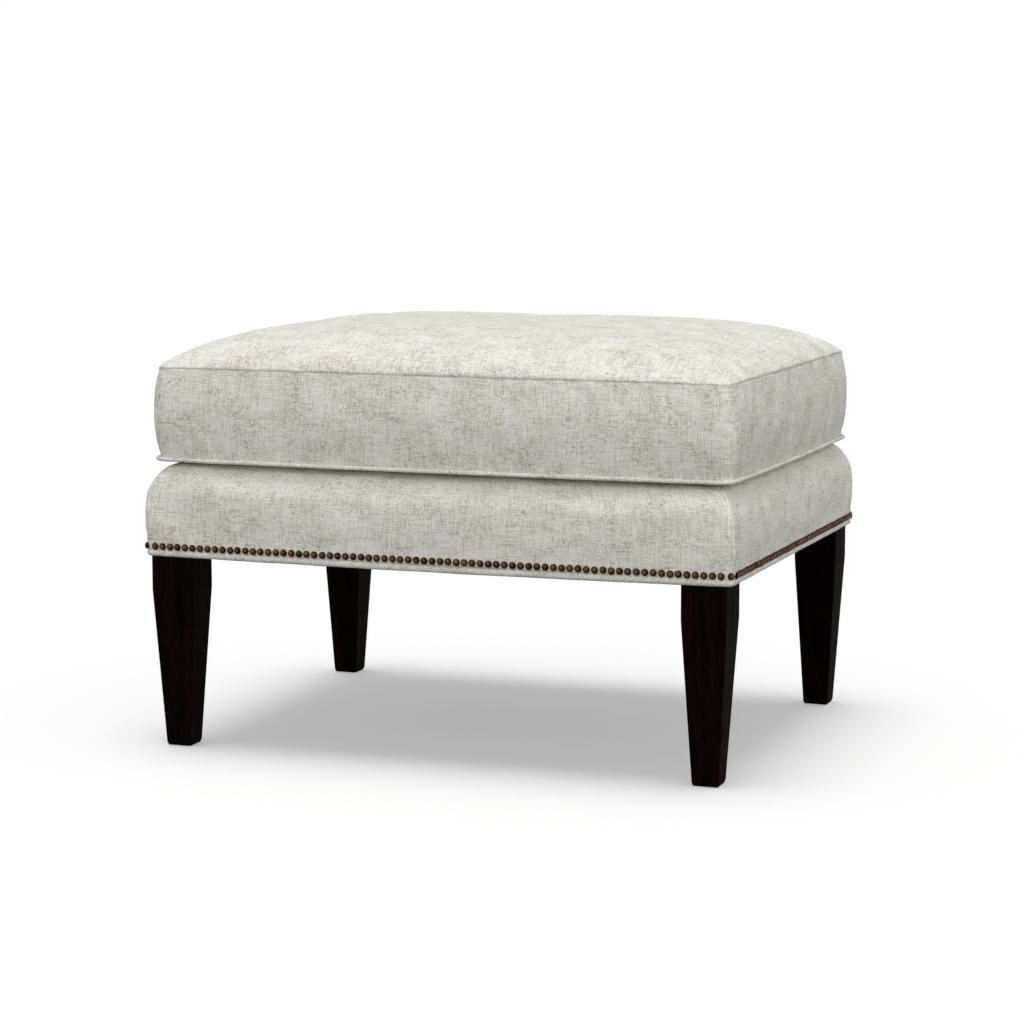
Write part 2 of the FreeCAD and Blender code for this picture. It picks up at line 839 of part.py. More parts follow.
def cushion_wrap():
    """Fibre wrap that fills the cover round the core and carries the crown."""
    filling = underside_form(cover_inset).fuse([boxing_form(cover_inset), crown_form(cover_inset)])
    core = cushion_core().BoundBox
    hollow = box_between(
        (core.XMin - cloth_gap, core.YMin - cloth_gap, core.ZMin - cloth_gap),
        (core.XMax + cloth_gap, core.YMax + cloth_gap, core.ZMax + cloth_gap),
    )
    return filling.cut(hollow)


def back_of_cushion():
    """Space that holds the back strip of the boxing."""
    reach = cushion_length / 2 + SPARE
    return box_between(
        (-reach, cushion_depth / 2 - zip_wrap, bottom_seam - SPARE),
        (reach, cushion_depth / 2 + SPARE, top_seam + SPARE),
    )


def zip_slot(gap):
    """Opening of the zip in the back boxing, less a gap all round."""
    half_x = zip_length / 2 - gap
    half_z = zip_opening / 2 - gap
    return box_between(
        (-half_x, cushion_depth / 2 - SPARE / 2, zip_level - half_z),
        (half_x, cushion_depth / 2 + SPARE, zip_level + half_z),
    )


def cushion_cover():
    """The sewn panels of the cushion and the tape of its zip."""
    boxing = boxing_form(0).cut(boxing_form(fabric_thickness))
    back_space = back_of_cushion()
    back_boxing = boxing.common(back_space)
    return {
        "cushion_top_panel": crown_form(0).cut(crown_form(fabric_thickness)),
        "cushion_bottom_panel": underside_form(0).cut(underside_form(fabric_thickness)),
        "cushion_boxing": boxing.cut(back_space),
        "cushion_zip_boxing": back_boxing.cut(zip_slot(0)),
        "zip_tape": back_boxing.common(zip_slot(cloth_gap)),
    }


def cushion_welt():
    """Thin welt along the bottom seam of the cushion."""
    grow = cushion_welt_radius + cloth_gap
    return cord_round(
        cushion_length / 2 + grow,
        cushion_depth / 2 + grow,
        cushion_corner_radius + grow,
        bottom_seam,
        CUSHION_BOWS,
        cushion_welt_radius,
    )


# Zip

def zip_teeth():
    """Closed row of teeth along the tape, drawn as one bevelled bar."""
    half = zip_teeth_width / 2
    bevel = zip_teeth_height / 2
    bottom = back_face + glue_gap
    top = bottom + zip_teeth_height
    outline = [(-half, bottom), (half, bottom), (half, bottom + bevel), (half - bevel, top),
               (-half + bevel, top), (-half, bottom + bevel)]
    start = -zip_length / 2 + zip_stop_length
    corners = [Vector(start, y, zip_level + rise) for rise, y in outline]
    return Part.Face(Part.makePolygon(corners + corners[:1])).extrude(Vector(-2 * start, 0, 0))


def zip_stops():
    """Stop at each end of the teeth."""
    half = zip_teeth_width / 2
    bottom = back_face + glue_gap
    stops = []
    for direction in (-1, 1):
        end = direction * zip_length / 2
        inner = direction * (zip_length / 2 - zip_stop_length + glue_gap)
        stops.append(box_between(
            (min(end, inner), bottom, zip_level - half),
            (max(end, inner), bottom + zip_teeth_height, zip_level + half),
        ))
    return stops


def slider_middle():
    """X of the slider's middle when the zip is closed."""
    return zip_length / 2 - zip_stop_length - slider_length / 2 - hole_gap


def slider_roof():
    """Y of the outer face of the slider's plate."""
    return back_face + glue_gap + zip_teeth_height + hole_gap + slider_wall


def pull_axis():
    """Y of the hinge line of the pull."""
    return slider_roof() + tunnel_height / 2


def zip_slider():
    """Slider: a tapered channel over the teeth, with a bridge that holds the pull."""
    middle = slider_middle()
    nose = middle + slider_length / 2
    tail = middle - slider_length / 2
    bottom = back_face + hole_gap
    roof = slider_roof()
    plan = [
        Vector(nose, bottom, zip_level - slider_tail_width / 2),
        Vector(nose, bottom, zip_level + slider_tail_width / 2),
        Vector(tail, bottom, zip_level + slider_nose_width / 2),
        Vector(tail, bottom, zip_level - slider_nose_width / 2),
    ]
    body = Part.Face(Part.makePolygon(plan + plan[:1])).extrude(Vector(0, roof - bottom, 0))
    half = zip_teeth_width / 2 + hole_gap
    channel = box_between(
        (tail - SPARE, bottom - SPARE, zip_level - half),
        (nose + SPARE, roof - slider_wall, zip_level + half),
    )
    bridge_half = bridge_length / 2
    width_half = bridge_width / 2
    bridge = box_between(
        (middle - bridge_half, roof, zip_level - width_half),
        (middle + bridge_half, roof + tunnel_height + bridge_bar, zip_level + width_half),
    )
    tunnel = box_between(
        (middle - bridge_half + bridge_bar, roof, zip_level - SPARE),
        (middle + bridge_half - bridge_bar, roof + tunnel_height, zip_level + SPARE),
    )
    return body.cut(channel).fuse(bridge.cut(tunnel)).removeSplitter()


def zip_pull():
    """Pull: a bar through the bridge, two arms round it and a rounded tab."""
    middle = slider_middle()
    axis = pull_axis()
    half_bar = pull_bar / 2
    half_width = pull_width / 2
    near = middle + half_bar
    far = near - pull_length
    front = axis - half_bar
    near_low = (near, front, zip_level - half_width)
    near_high = (near, front, zip_level + half_width)
    far_low = (far + half_width, front, zip_level - half_width)
    far_high = (far + half_width, front, zip_level + half_width)
    plan = Part.Wire([
        point_edge(near_low, near_high),
        point_edge(near_high, far_high),
        arc_edge(far_high, (far, front, zip_level), far_low),
        point_edge(far_low, near_low),
    ])
    tab = Part.Face(plan).extrude(Vector(0, pull_bar, 0))
    inner = half_width - pull_arm_width
    window = box_between(
        (middle - half_bar - pull_window_length, axis - SPARE, zip_level - inner),
        (middle - half_bar, axis + SPARE, zip_level + inner),
    )
    return tab.cut(window)


# Assembly

def frame_nodes():
    """Rails, brace, blocks and their fixings."""
    return {
        "rail_front": front_or_back_rail(-1),
        "rail_back": front_or_back_rail(1),
        "rail_left": end_rail(-1),
        "rail_right": end_rail(1),
        "centre_stretcher": centre_stretcher(),
        "corner_blocks": at_all_corners(corner_block()),
        "corner_block_screws": at_all_corners(Part.makeCompound(block_screws(0))),
        "rail_dowels": at_all_corners(Part.makeCompound([dowel(place, 0) for place in dowel_places()])),
    }


def leg_nodes():
    """Legs with their bolts, nuts, washers and glides."""
    names = ["leg_front_left", "leg_front_right", "leg_back_right", "leg_back_left"]
    one_leg = leg()
    nodes = {name: at_corner(one_leg, corner) for name, corner in zip(names, CORNERS)}
    nodes["leg_bolts"] = at_all_corners(leg_bolt())
    nodes["leg_bolt_washers"] = at_all_corners(leg_washer())
    nodes["leg_bolt_nuts"] = at_all_corners(leg_nut())
    nodes["foot_glides"] = at_all_corners(foot_glide())
    return nodes


def suspension_nodes():
    """Zigzag springs, their clips and the sheet over them."""
    nodes = {}
    clips = []
    end_slope = math.atan(2 * spring_arch / spring_half_span)
    for number, x in enumerate(spring_places(), start=1):
        nodes[f"spring_{number}"] = square_wire_solid(spring_route(x), spring_wire, end_slope)
        clips += [spring_clip(x, direction) for direction in (-1, 1)]
    nodes["spring_clips"] = Part.makeCompound(clips)
    nodes["spring_insulator"] = arch_under(insulator_thickness).cut(arch_under(0))
    return nodes


def base_nodes():
    """Soft layers, cover, welt and nails of the base."""
    nodes = {
        "deck_foam": deck_foam(),
        "deck_cloth": deck_cloth(),
        "dust_cover": dust_cover(),
        "base_welt": base_welt(),
    }
    layers = {"band": fabric_bands(), "border_pad": border_pads(), "edge_roll": edge_rolls()}
    for layer, pieces in layers.items():
        for side, piece in pieces.items():
            nodes[f"{layer}_{side}"] = piece
    for side, row in nail_rows().items():
        nodes[f"nailheads_{side}"] = Part.makeCompound(row)
    return nodes


def cushion_nodes():
    """The loose cushion and its zip."""
    nodes = cushion_cover()
    nodes["cushion_core"] = cushion_core()
    nodes["cushion_wrap"] = cushion_wrap()
    nodes["cushion_welt"] = cushion_welt()
    nodes["zip_teeth"] = zip_teeth()
    nodes["zip_stops"] = Part.makeCompound(zip_stops())
    nodes["zip_slider"] = zip_slider()
    nodes["zip_pull"] = zip_pull()
    return nodes


def main():
    """Build every node and write its STEP file."""
    os.makedirs("parts", exist_ok=True)
    for nodes in (frame_nodes(), leg_nodes(), suspension_nodes(), base_nodes(), cushion_nodes()):
        for name, shape in nodes.items():
            shape.exportStep(f"parts/{name}.step")
            solids = len(shape.Solids)
            print(f"{name}: {solids} solids, valid {shape.isValid()}, {shape.Volume:.0f} mm3")


main()
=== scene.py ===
"""Looks of an upholstered footstool with a loose box cushion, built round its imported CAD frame."""

import logging
import math
from dataclasses import dataclass, field
from enum import Enum
from typing import Sequence

import bmesh
import bpy
import numpy as np
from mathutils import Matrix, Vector, noise


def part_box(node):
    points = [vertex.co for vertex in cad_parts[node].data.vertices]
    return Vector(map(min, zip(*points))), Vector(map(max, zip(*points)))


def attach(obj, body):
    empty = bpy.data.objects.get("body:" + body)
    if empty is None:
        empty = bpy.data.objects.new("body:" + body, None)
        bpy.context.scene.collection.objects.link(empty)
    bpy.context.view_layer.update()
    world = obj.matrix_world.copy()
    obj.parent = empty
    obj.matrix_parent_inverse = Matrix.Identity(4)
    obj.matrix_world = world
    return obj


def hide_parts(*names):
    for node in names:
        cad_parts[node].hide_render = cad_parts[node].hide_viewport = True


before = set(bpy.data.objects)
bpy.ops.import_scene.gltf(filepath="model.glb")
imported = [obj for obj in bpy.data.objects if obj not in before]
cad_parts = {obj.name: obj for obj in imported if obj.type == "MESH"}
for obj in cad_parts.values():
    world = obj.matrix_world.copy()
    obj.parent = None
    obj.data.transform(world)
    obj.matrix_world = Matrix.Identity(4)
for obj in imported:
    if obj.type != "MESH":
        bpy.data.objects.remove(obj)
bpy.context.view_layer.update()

LOG = logging.getLogger("footstool")
MM = 0.001
PLACE = "cloth_place"
PAINTED_LIGHT_MARK = "painted_light_and_wear_mark"  # 1 in a seam, where it paints shade into the cloth; on a nail, its worn crown, with painted highlight on the upper half and painted shade on the lower
SEED = 11
CORNERS = ((-1, -1), (1, -1), (1, 1), (-1, 1))  # from the front left, against the clock

# Sockets of the Mix node when it mixes colours
MIX_A = 6
MIX_B = 7
MIX_OUT = 2


def linear(colour: str) -> tuple[float, float, float, float]:
    """Turns an sRGB hex colour to linear.

    Args:
        colour: Six hex digits after a hash sign.

    Returns:
        Linear red, green, blue and an alpha of 1.
    """
    parts = [int(colour[i : i + 2], 16) / 255 for i in (1, 3, 5)]
    bright = [p / 12.92 if p <= 0.04045 else ((p + 0.055) / 1.055) ** 2.4 for p in parts]
    return (*bright, 1.0)


def add_node(
    tree: bpy.types.NodeTree,
    kind: str,
    inputs: dict[str | int, object] | None = None,
    **settings: object,
) -> bpy.types.Node:
    """Adds a shader node with its settings and links.

    Args:
        tree: Node tree that takes the node.
        kind: Node type, without its ShaderNode prefix.
        inputs: Value or output socket for each named or numbered input.
        **settings: Properties of the node.

    Returns:
        The node.
    """
    node = tree.nodes.new("ShaderNode" + kind)
    for name, value in settings.items():
        setattr(node, name, value)
    for name, value in (inputs or {}).items():
        if isinstance(value, bpy.types.NodeSocket):
            tree.links.new(value, node.inputs[name])
        else:
            node.inputs[name].default_value = value
    return node


def new_material(name: str) -> tuple[bpy.types.Material, bpy.types.NodeTree]:
    """Makes an empty node material.

    Args:
        name: Name of the material.

    Returns:
        The material and its node tree.
    """
    material = bpy.data.materials.new(name)
    material.use_nodes = True
    material.node_tree.nodes.clear()
    return material, material.node_tree


def white_rays(tree: bpy.types.NodeTree) -> bpy.types.NodeSocket:
    """Gives 1 for the rays that see the plain white background, and 0 for the others.

    Args:
        tree: Node tree that takes the nodes.

    Returns:
        The socket that holds the 1 or 0.
    """
    path = add_node(tree, "LightPath")
    total = path.outputs["Is Camera Ray"]
    for kind in ("Is Glossy Ray", "Is Transmission Ray"):
        both = add_node(tree, "Math", {0: total, 1: path.outputs[kind]}, operation="MAXIMUM")
        total = both.outputs[0]
    return total


def dress(obj: bpy.types.Object, material: bpy.types.Material) -> None:
    """Gives an object one material."""
    obj.data.materials.clear()
    obj.data.materials.append(material)


class Grain(Enum):
    """Direction of the wood grain, as the long axis of the pattern."""

    ALONG_X = (1, 0, 0)
    ALONG_Y = (0, 1, 0)
    ALONG_Z = (0, 0, 1)


class Cut(Enum):
    """How cloth is laid on its piece."""

    STRAIGHT = 0.0
    BIAS = math.pi / 4


@dataclass(frozen=True)
class YarnPattern:
    """One layer of uneven yarn: the size of its patches on the cloth and how strongly it shows."""

    warp_size: float
    weft_size: float
    weight: float
    detail: float = 2.0


@dataclass(frozen=True)
class MelangeLinen:
    """Linen-look upholstery cloth, yarn-dyed and woven in a fine twill.

    Slubby yarns of uneven colour run both ways, so the eye sees pale and tan streaks that
    cross, small brown flecks where a thick yarn surfaces, and soft clouds of warmer colour.
    """

    name: str = "woven_melange_linen"
    pale: str = "#E8E7E2"
    tan: str = "#B1A88D"
    brown: str = "#817047"
    cut: Cut = Cut.STRAIGHT
    twill: float = 2.4  # puts its lines 2.1 mm apart, where the real 1.3 mm is only a pixel
    roughness: float = 0.92
    sheen: float = 0.1
    contrast: float = 3.0
    # The yarns are drawn 1.0 to 1.2 mm wide in place of the real 0.6 mm, for the same reason
    layers: tuple[YarnPattern, ...] = (
        YarnPattern(1.0, 1.0, 1.5, 1.0),
        YarnPattern(1.2, 22.0, 0.95),
        YarnPattern(26.0, 1.2, 0.95),
        YarnPattern(3.4, 60.0, 0.35),
        YarnPattern(8.0, 4.5, 0.55),
        YarnPattern(46.0, 34.0, 0.45),
    )
    flecks: tuple[YarnPattern, ...] = (YarnPattern(6.5, 1.5, 0.7225), YarnPattern(1.6, 7.5, 0.51))

    def layer(
        self,
        tree: bpy.types.NodeTree,
        place: bpy.types.NodeSocket,
        pattern: YarnPattern,
        shift: float,
    ) -> bpy.types.NodeSocket:
        """Draws one layer of uneven yarn.

        Args:
            tree: Node tree of the cloth.
            place: Place on the cloth in millimetres.
            pattern: The layer.
            shift: Offset that keeps this layer apart from the others.

        Returns:
            Noise between 0 and 1.
        """
        scale = (1 / pattern.warp_size, 1 / pattern.weft_size, 1.0)
        moved = add_node(
            tree, "Mapping", {"Vector": place, "Scale": scale, "Location": (shift, 2 * shift, 3 * shift)}
        )
        noise_node = add_node(
            tree,
            "TexNoise",
            {"Vector": moved.outputs[0], "Scale": 1.0, "Detail": pattern.detail, "Roughness": 0.55},
        )
        return noise_node.outputs["Fac"]

    def make(self) -> bpy.types.Material:
        """Builds the cloth's material.

        Returns:
            The material.
        """
        material, tree = new_material(self.name)
        source = add_node(tree, "Attribute", attribute_name=PLACE)
        turned = add_node(
            tree,
            "Mapping",
            {"Vector": source.outputs["Vector"], "Rotation": (0, 0, self.cut.value), "Scale": (1000,) * 3},
        )
        place = turned.outputs[0]
        total: object = 0.5
        for number, pattern in enumerate(self.layers):
            noise_value = self.layer(tree, place, pattern, 3.1 + 4.3 * number)
            centred = add_node(tree, "Math", {0: noise_value, 1: 0.5}, operation="SUBTRACT")
            summed = add_node(
                tree,
                "Math",
                {0: centred.outputs[0], 1: pattern.weight * self.contrast, 2: total},
                operation="MULTIPLY_ADD",
            )
            total = summed.outputs[0]
        share = add_node(tree, "MapRange", {"Value": total, "From Min": -1.05, "From Max": 1.0})
        mixed = add_node(
            tree,
            "Mix",
            {0: share.outputs[0], MIX_A: linear(self.tan), MIX_B: linear(self.pale)},
            data_type="RGBA",
        )
        colour = mixed.outputs[MIX_OUT]
        cloud = self.layer(tree, place, YarnPattern(34.0, 24.0, 1.0), 55.0)
        warm = add_node(
            tree,
            "MapRange",
            {"Value": cloud, "From Min": 0.4, "From Max": 0.66},
            interpolation_type="SMOOTHSTEP",
        )
        for number, pattern in enumerate(self.flecks):
            fleck = self.layer(tree, place, pattern, 70.0 + 9.0 * number)
            drawn = add_node(
                tree,
                "MapRange",
                {"Value": fleck, "From Min": 0.53, "From Max": 0.7, "To Max": pattern.weight},
                interpolation_type="SMOOTHSTEP",
            )
            both = add_node(
                tree, "Math", {0: drawn.outputs[0], 1: warm.outputs[0]}, operation="MULTIPLY"
            )
            mixed = add_node(
                tree,
                "Mix",
                {0: both.outputs[0], MIX_A: colour, MIX_B: linear(self.brown)},
                data_type="RGBA",
            )
            colour = mixed.outputs[MIX_OUT]

        diagonal = add_node(
            tree,
            "TexWave",
            {"Vector": place, "Scale": 0.5 / self.twill, "Distortion": 1.0, "Detail": 1.0},
            wave_type="BANDS",
            bands_direction="DIAGONAL",
        )
        shade = add_node(
            tree,
            "MapRange",
            {"Value": diagonal.outputs["Fac"], "To Min": 0.96, "To Max": 1.04},
        )
        # Painted shade: the cloth is drawn 14 % darker where the mark lies in a seam
        painted_seam_shade_mask = add_node(tree, "Attribute", attribute_name=PAINTED_LIGHT_MARK)
        seam_shade = add_node(
            tree, "Math", {0: painted_seam_shade_mask.outputs["Fac"], 1: -0.14, 2: 1.0}, operation="MULTIPLY_ADD"
        )
        dimmed = add_node(
            tree, "Math", {0: shade.outputs[0], 1: seam_shade.outputs[0]}, operation="MULTIPLY"
        )
        woven = add_node(tree, "VectorMath", {0: colour, 3: dimmed.outputs[0]}, operation="SCALE")
        relief = add_node(
            tree, "Math", {0: diagonal.outputs["Fac"], 1: 0.5, 2: total}, operation="MULTIPLY_ADD"
        )
        bump = add_node(
            tree, "Bump", {"Height": relief.outputs[0], "Strength": 0.3, "Distance": 0.0005}
        )
        shader = add_node(
            tree,
            "BsdfPrincipled",
            {
                "Base Color": woven.outputs[0],
                "Roughness": self.roughness,
                "Normal": bump.outputs[0],
                "Sheen Weight": self.sheen,
                "Sheen Roughness": 0.5,
                "Specular IOR Level": 0.2,
            },
        )
        add_node(tree, "OutputMaterial", {"Surface": shader.outputs[0]})
        return material


@dataclass(frozen=True)
class PlainCloth:
    """Piece-dyed cloth with an even weave, such as deck cloth, tape or dust cloth.

    Its yarns are all one colour, so the eye sees only a fine grid and a faint unevenness.
    """

    name: str
    colour: str
    shadow: str
    yarn: float = 1.4
    roughness: float = 0.95

    def make(self) -> bpy.types.Material:
        """Builds the cloth's material.

        Returns:
            The material.
        """
        material, tree = new_material(self.name)
        source = add_node(tree, "TexCoord")
        place = add_node(
            tree, "VectorMath", {0: source.outputs["Object"], 3: 1000 / self.yarn}, operation="SCALE"
        )
        yarns = add_node(
            tree, "TexNoise", {"Vector": place.outputs[0], "Scale": 1.0, "Detail": 2.0}
        )
        blotch = add_node(
            tree, "TexNoise", {"Vector": source.outputs["Object"], "Scale": 14.0, "Detail": 2.0}
        )
        both = add_node(
            tree, "Math", {0: yarns.outputs["Fac"], 1: blotch.outputs["Fac"]}, operation="MULTIPLY"
        )
        share = add_node(
            tree, "MapRange", {"Value": both.outputs[0], "From Min": 0.14, "From Max": 0.4}
        )
        mixed = add_node(
            tree,
            "Mix",
            {0: share.outputs[0], MIX_A: linear(self.shadow), MIX_B: linear(self.colour)},
            data_type="RGBA",
        )
        bump = add_node(
            tree, "Bump", {"Height": yarns.outputs["Fac"], "Strength": 0.4, "Distance": 0.0005}
        )
        shader = add_node(
            tree,
            "BsdfPrincipled",
            {
                "Base Color": mixed.outputs[MIX_OUT],
                "Roughness": self.roughness,
                "Normal": bump.outputs[0],
                "Specular IOR Level": 0.2,
            },
        )
        add_node(tree, "OutputMaterial", {"Surface": shader.outputs[0]})
        return material


@dataclass(frozen=True)
class Wood:
    """Wood with open grain: planed, stained where dark, and lacquered where it has a coat.

    The pores run along the grain as fine dark lines, which catch the light at their edges.
    """

    name: str
    light: str
    dark: str
    grain: Grain
    pore_width: float = 0.9
    pore_length: float = 46.0
    figure_width: float = 9.0
    roughness: float = 0.5
    shine: float = 0.5
    pore_depth: float = 0.5

    def make(self) -> bpy.types.Material:
        """Builds the wood's material.

        Returns:
            The material.
        """
        material, tree = new_material(self.name)
        source = add_node(tree, "TexCoord")
        along = self.grain.value
        fields = []
        for width, length, detail in (
            (self.pore_width, self.pore_length, 4.0),
            (self.figure_width, self.figure_width * 14, 3.0),
        ):
            scale = tuple(1000 / (length if axis else width) for axis in along)
            sized = add_node(
                tree, "VectorMath", {0: source.outputs["Object"], 1: scale}, operation="MULTIPLY"
            )
            pattern = add_node(
                tree,
                "TexNoise",
                {"Vector": sized.outputs[0], "Scale": 1.0, "Detail": detail, "Roughness": 0.6},
            )
            fields.append(pattern.outputs["Fac"])
        pores = add_node(
            tree,
            "MapRange",
            {"Value": fields[0], "From Min": 0.36, "From Max": 0.56},
            interpolation_type="SMOOTHSTEP",
        )
        figure = add_node(tree, "MapRange", {"Value": fields[1], "From Min": 0.3, "From Max": 0.7})
        share = add_node(
            tree, "Math", {0: pores.outputs[0], 1: figure.outputs[0]}, operation="MULTIPLY"
        )
        mixed = add_node(
            tree,
            "Mix",
            {0: share.outputs[0], MIX_A: linear(self.dark), MIX_B: linear(self.light)},
            data_type="RGBA",
        )
        gloss = add_node(
            tree,
            "MapRange",
            {
                "Value": pores.outputs[0],
                "To Min": min(self.roughness + 0.22, 1.0),
                "To Max": self.roughness,
            },
        )
        bump = add_node(
            tree,
            "Bump",
            {"Height": pores.outputs[0], "Strength": self.pore_depth, "Distance": 0.0004},
        )
        shader = add_node(
            tree,
            "BsdfPrincipled",
            {
                "Base Color": mixed.outputs[MIX_OUT],
                "Roughness": gloss.outputs[0],
                "Normal": bump.outputs[0],
                "IOR": 1.5,
                "Specular IOR Level": self.shine,
            },
        )
        add_node(tree, "OutputMaterial", {"Surface": shader.outputs[0]})
        return material


@dataclass(frozen=True)
class Metal:
    """Metal, drawn, pressed or plated, with tarnish in soft patches."""

    name: str
    bright: str
    tarnish: str
    roughness: float = 0.35
    patch: float = 3.0
    wear: float = 0.5
    wear_and_highlight: bool = False  # bright only where the piece is marked as worn, and where a highlight is painted

    def make(self) -> bpy.types.Material:
        """Builds the metal's material.

        Returns:
            The material.
        """
        material, tree = new_material(self.name)
        source = add_node(tree, "TexCoord")
        patches = add_node(
            tree,
            "TexNoise",
            {"Vector": source.outputs["Object"], "Scale": 1000 / self.patch, "Detail": 3.0},
        )
        share = add_node(
            tree,
            "MapRange",
            {"Value": patches.outputs["Fac"], "From Min": self.wear - 0.16, "From Max": self.wear + 0.16},
        )
        bright = share.outputs[0]
        # The mark lightens the worn crown of a nail, with a painted highlight on its upper half and painted
        # shade on its lower half
        if self.wear_and_highlight:
            mark = add_node(tree, "Attribute", attribute_name=PAINTED_LIGHT_MARK)
            lifted = add_node(
                tree,
                "Math",
                {0: mark.outputs["Fac"], 1: 0.8, 2: share.outputs[0]},
                operation="MULTIPLY_ADD",
            )
            wear_and_highlight_share = add_node(
                tree, "Math", {0: lifted.outputs[0], 1: mark.outputs["Fac"]}, operation="MULTIPLY"
            )
            bright = wear_and_highlight_share.outputs[0]
        mixed = add_node(
            tree,
            "Mix",
            {0: bright, MIX_A: linear(self.tarnish), MIX_B: linear(self.bright)},
            data_type="RGBA",
        )
        gloss = add_node(
            tree,
            "MapRange",
            {"Value": share.outputs[0], "To Min": self.roughness + 0.2, "To Max": self.roughness},
        )
        shader = add_node(
            tree,
            "BsdfPrincipled",
            {"Base Color": mixed.outputs[MIX_OUT], "Metallic": 1.0, "Roughness": gloss.outputs[0]},
        )
        add_node(tree, "OutputMaterial", {"Surface": shader.outputs[0]})
        return material


@dataclass(frozen=True)
class Plastic:
    """Moulded plastic with a faint moulded texture."""

    name: str
    colour: str
    roughness: float = 0.45
    grit: float = 0.5

    def make(self) -> bpy.types.Material:
        """Builds the plastic's material.

        Returns:
            The material.
        """
        material, tree = new_material(self.name)
        source = add_node(tree, "TexCoord")
        grit = add_node(
            tree,
            "TexNoise",
            {"Vector": source.outputs["Object"], "Scale": 1000 / self.grit, "Detail": 1.0},
        )
        gloss = add_node(
            tree,
            "MapRange",
            {
                "Value": grit.outputs["Fac"],
                "To Min": self.roughness - 0.08,
                "To Max": self.roughness + 0.12,
            },
        )
        bump = add_node(
            tree, "Bump", {"Height": grit.outputs["Fac"], "Strength": 0.2, "Distance": 0.0001}
        )
        shader = add_node(
            tree,
            "BsdfPrincipled",
            {
                "Base Color": linear(self.colour),
                "Roughness": gloss.outputs[0],
                "Normal": bump.outputs[0],
                "IOR": 1.49,
            },
        )
        add_node(tree, "OutputMaterial", {"Surface": shader.outputs[0]})
        return material


class MeshMaker:
    """Gathers quads with their cloth places and turns them into one object."""

    def __init__(self) -> None:
        """Starts with no points."""
        self.points: list[np.ndarray] = []
        self.faces: list[np.ndarray] = []
        self.places: list[np.ndarray] = []
        self.seams: list[np.ndarray] = []
        self.count = 0

    def add_points(self, points: np.ndarray, seams: np.ndarray | None = None) -> np.ndarray:
        """Adds points in millimetres.

        Args:
            points: Array of points, three numbers each, in any grid shape.
            seams: Mark of each point, from 0 to 1, which paints shade in a seam and a highlight on a nail,
                or None for none.

        Returns:
            The index of each point, in the same grid shape.
        """
        flat = points.reshape(-1, 3)
        self.points.append(flat)
        marks = np.zeros(len(flat)) if seams is None else seams.reshape(-1)
        self.seams.append(marks)
        indices = self.count + np.arange(len(flat))
        self.count += len(flat)
        return indices.reshape(points.shape[:-1])

    def add_grid(self, indices: np.ndarray, places: np.ndarray, flipped: bool = False) -> None:
        """Joins a grid of point indices with quads.

        Args:
            indices: Rows and columns of point indices.
            places: Cloth place of each grid corner.
            flipped: Whether the faces look the other way.
        """
        corners = [(0, 0), (0, 1), (1, 1), (1, 0)]
        if flipped:
            corners.reverse()
        rows, columns = indices.shape
        quads = [indices[r : r + rows - 1, c : c + columns - 1].reshape(-1) for r, c in corners]
        spots = [places[r : r + rows - 1, c : c + columns - 1].reshape(-1, 3) for r, c in corners]
        self.faces.append(np.stack(quads, axis=1))
        self.places.append(np.stack(spots, axis=1).reshape(-1, 3))

    def build(self, name: str) -> bpy.types.Object:
        """Makes the object, in metres, with smooth faces.

        Args:
            name: Name of the object and its mesh.

        Returns:
            The object, linked to the scene.
        """
        mesh = bpy.data.meshes.new(name)
        points = np.concatenate(self.points) * MM
        faces = np.concatenate(self.faces)
        mesh.vertices.add(len(points))
        mesh.vertices.foreach_set("co", points.astype(np.float32).ravel())
        mesh.loops.add(faces.size)
        mesh.loops.foreach_set("vertex_index", faces.astype(np.int32).ravel())
        mesh.polygons.add(len(faces))
        mesh.polygons.foreach_set("loop_start", np.arange(0, faces.size, 4, dtype=np.int32))
        mesh.polygons.foreach_set("loop_total", np.full(len(faces), 4, np.int32))
        mesh.update(calc_edges=True)
        mesh.validate()
        mesh.polygons.foreach_set("use_smooth", np.ones(len(mesh.polygons), bool))
        place = mesh.attributes.new(PLACE, "FLOAT_VECTOR", "CORNER")
        spots = np.concatenate(self.places) * MM
        place.data.foreach_set("vector", spots.astype(np.float32).ravel())
        # Mark that paints shade in seams, and highlight and shade on nails
        seam = mesh.attributes.new(PAINTED_LIGHT_MARK, "FLOAT", "POINT")
        seam.data.foreach_set("value", np.concatenate(self.seams).astype(np.float32))
        obj = bpy.data.objects.new(name, mesh)
        bpy.context.scene.collection.objects.link(obj)
        return obj


def add_smoothing(obj: bpy.types.Object, levels: int) -> None:
    """Adds a subdivision surface of that many levels.

    Args:
        obj: Object that is smoothed.
        levels: How many times each face is divided.
    """
    modifier = obj.modifiers.new("Smooth", "SUBSURF")
    modifier.levels = levels
    modifier.render_levels = levels


def crease_edges(obj: bpy.types.Object, ends: set[tuple[int, int]], sharpness: float) -> None:
    """Creases the edges between given pairs of points.

    Args:
        obj: Object whose mesh is creased.
        ends: Pairs of point indices, the lower first.
        sharpness: Crease from 0 to 1.
    """
    attribute = obj.data.attributes.new("crease_edge", "FLOAT", "EDGE")
    for edge in obj.data.edges:
        if tuple(sorted(edge.vertices)) in ends:
            attribute.data[edge.index].value = sharpness


def sharpen_edges(obj: bpy.types.Object, lines: Sequence[np.ndarray]) -> None:
    """Keeps the shading apart on the two sides of given lines of points.

    Args:
        obj: Object whose mesh is marked.
        lines: Point indices of each line.
    """
    marked = {int(i) for line in lines for i in line}
    attribute = obj.data.attributes.new("sharp_edge", "BOOLEAN", "EDGE")
    for edge in obj.data.edges:
        if all(i in marked for i in edge.vertices):
            attribute.data[edge.index].value = True


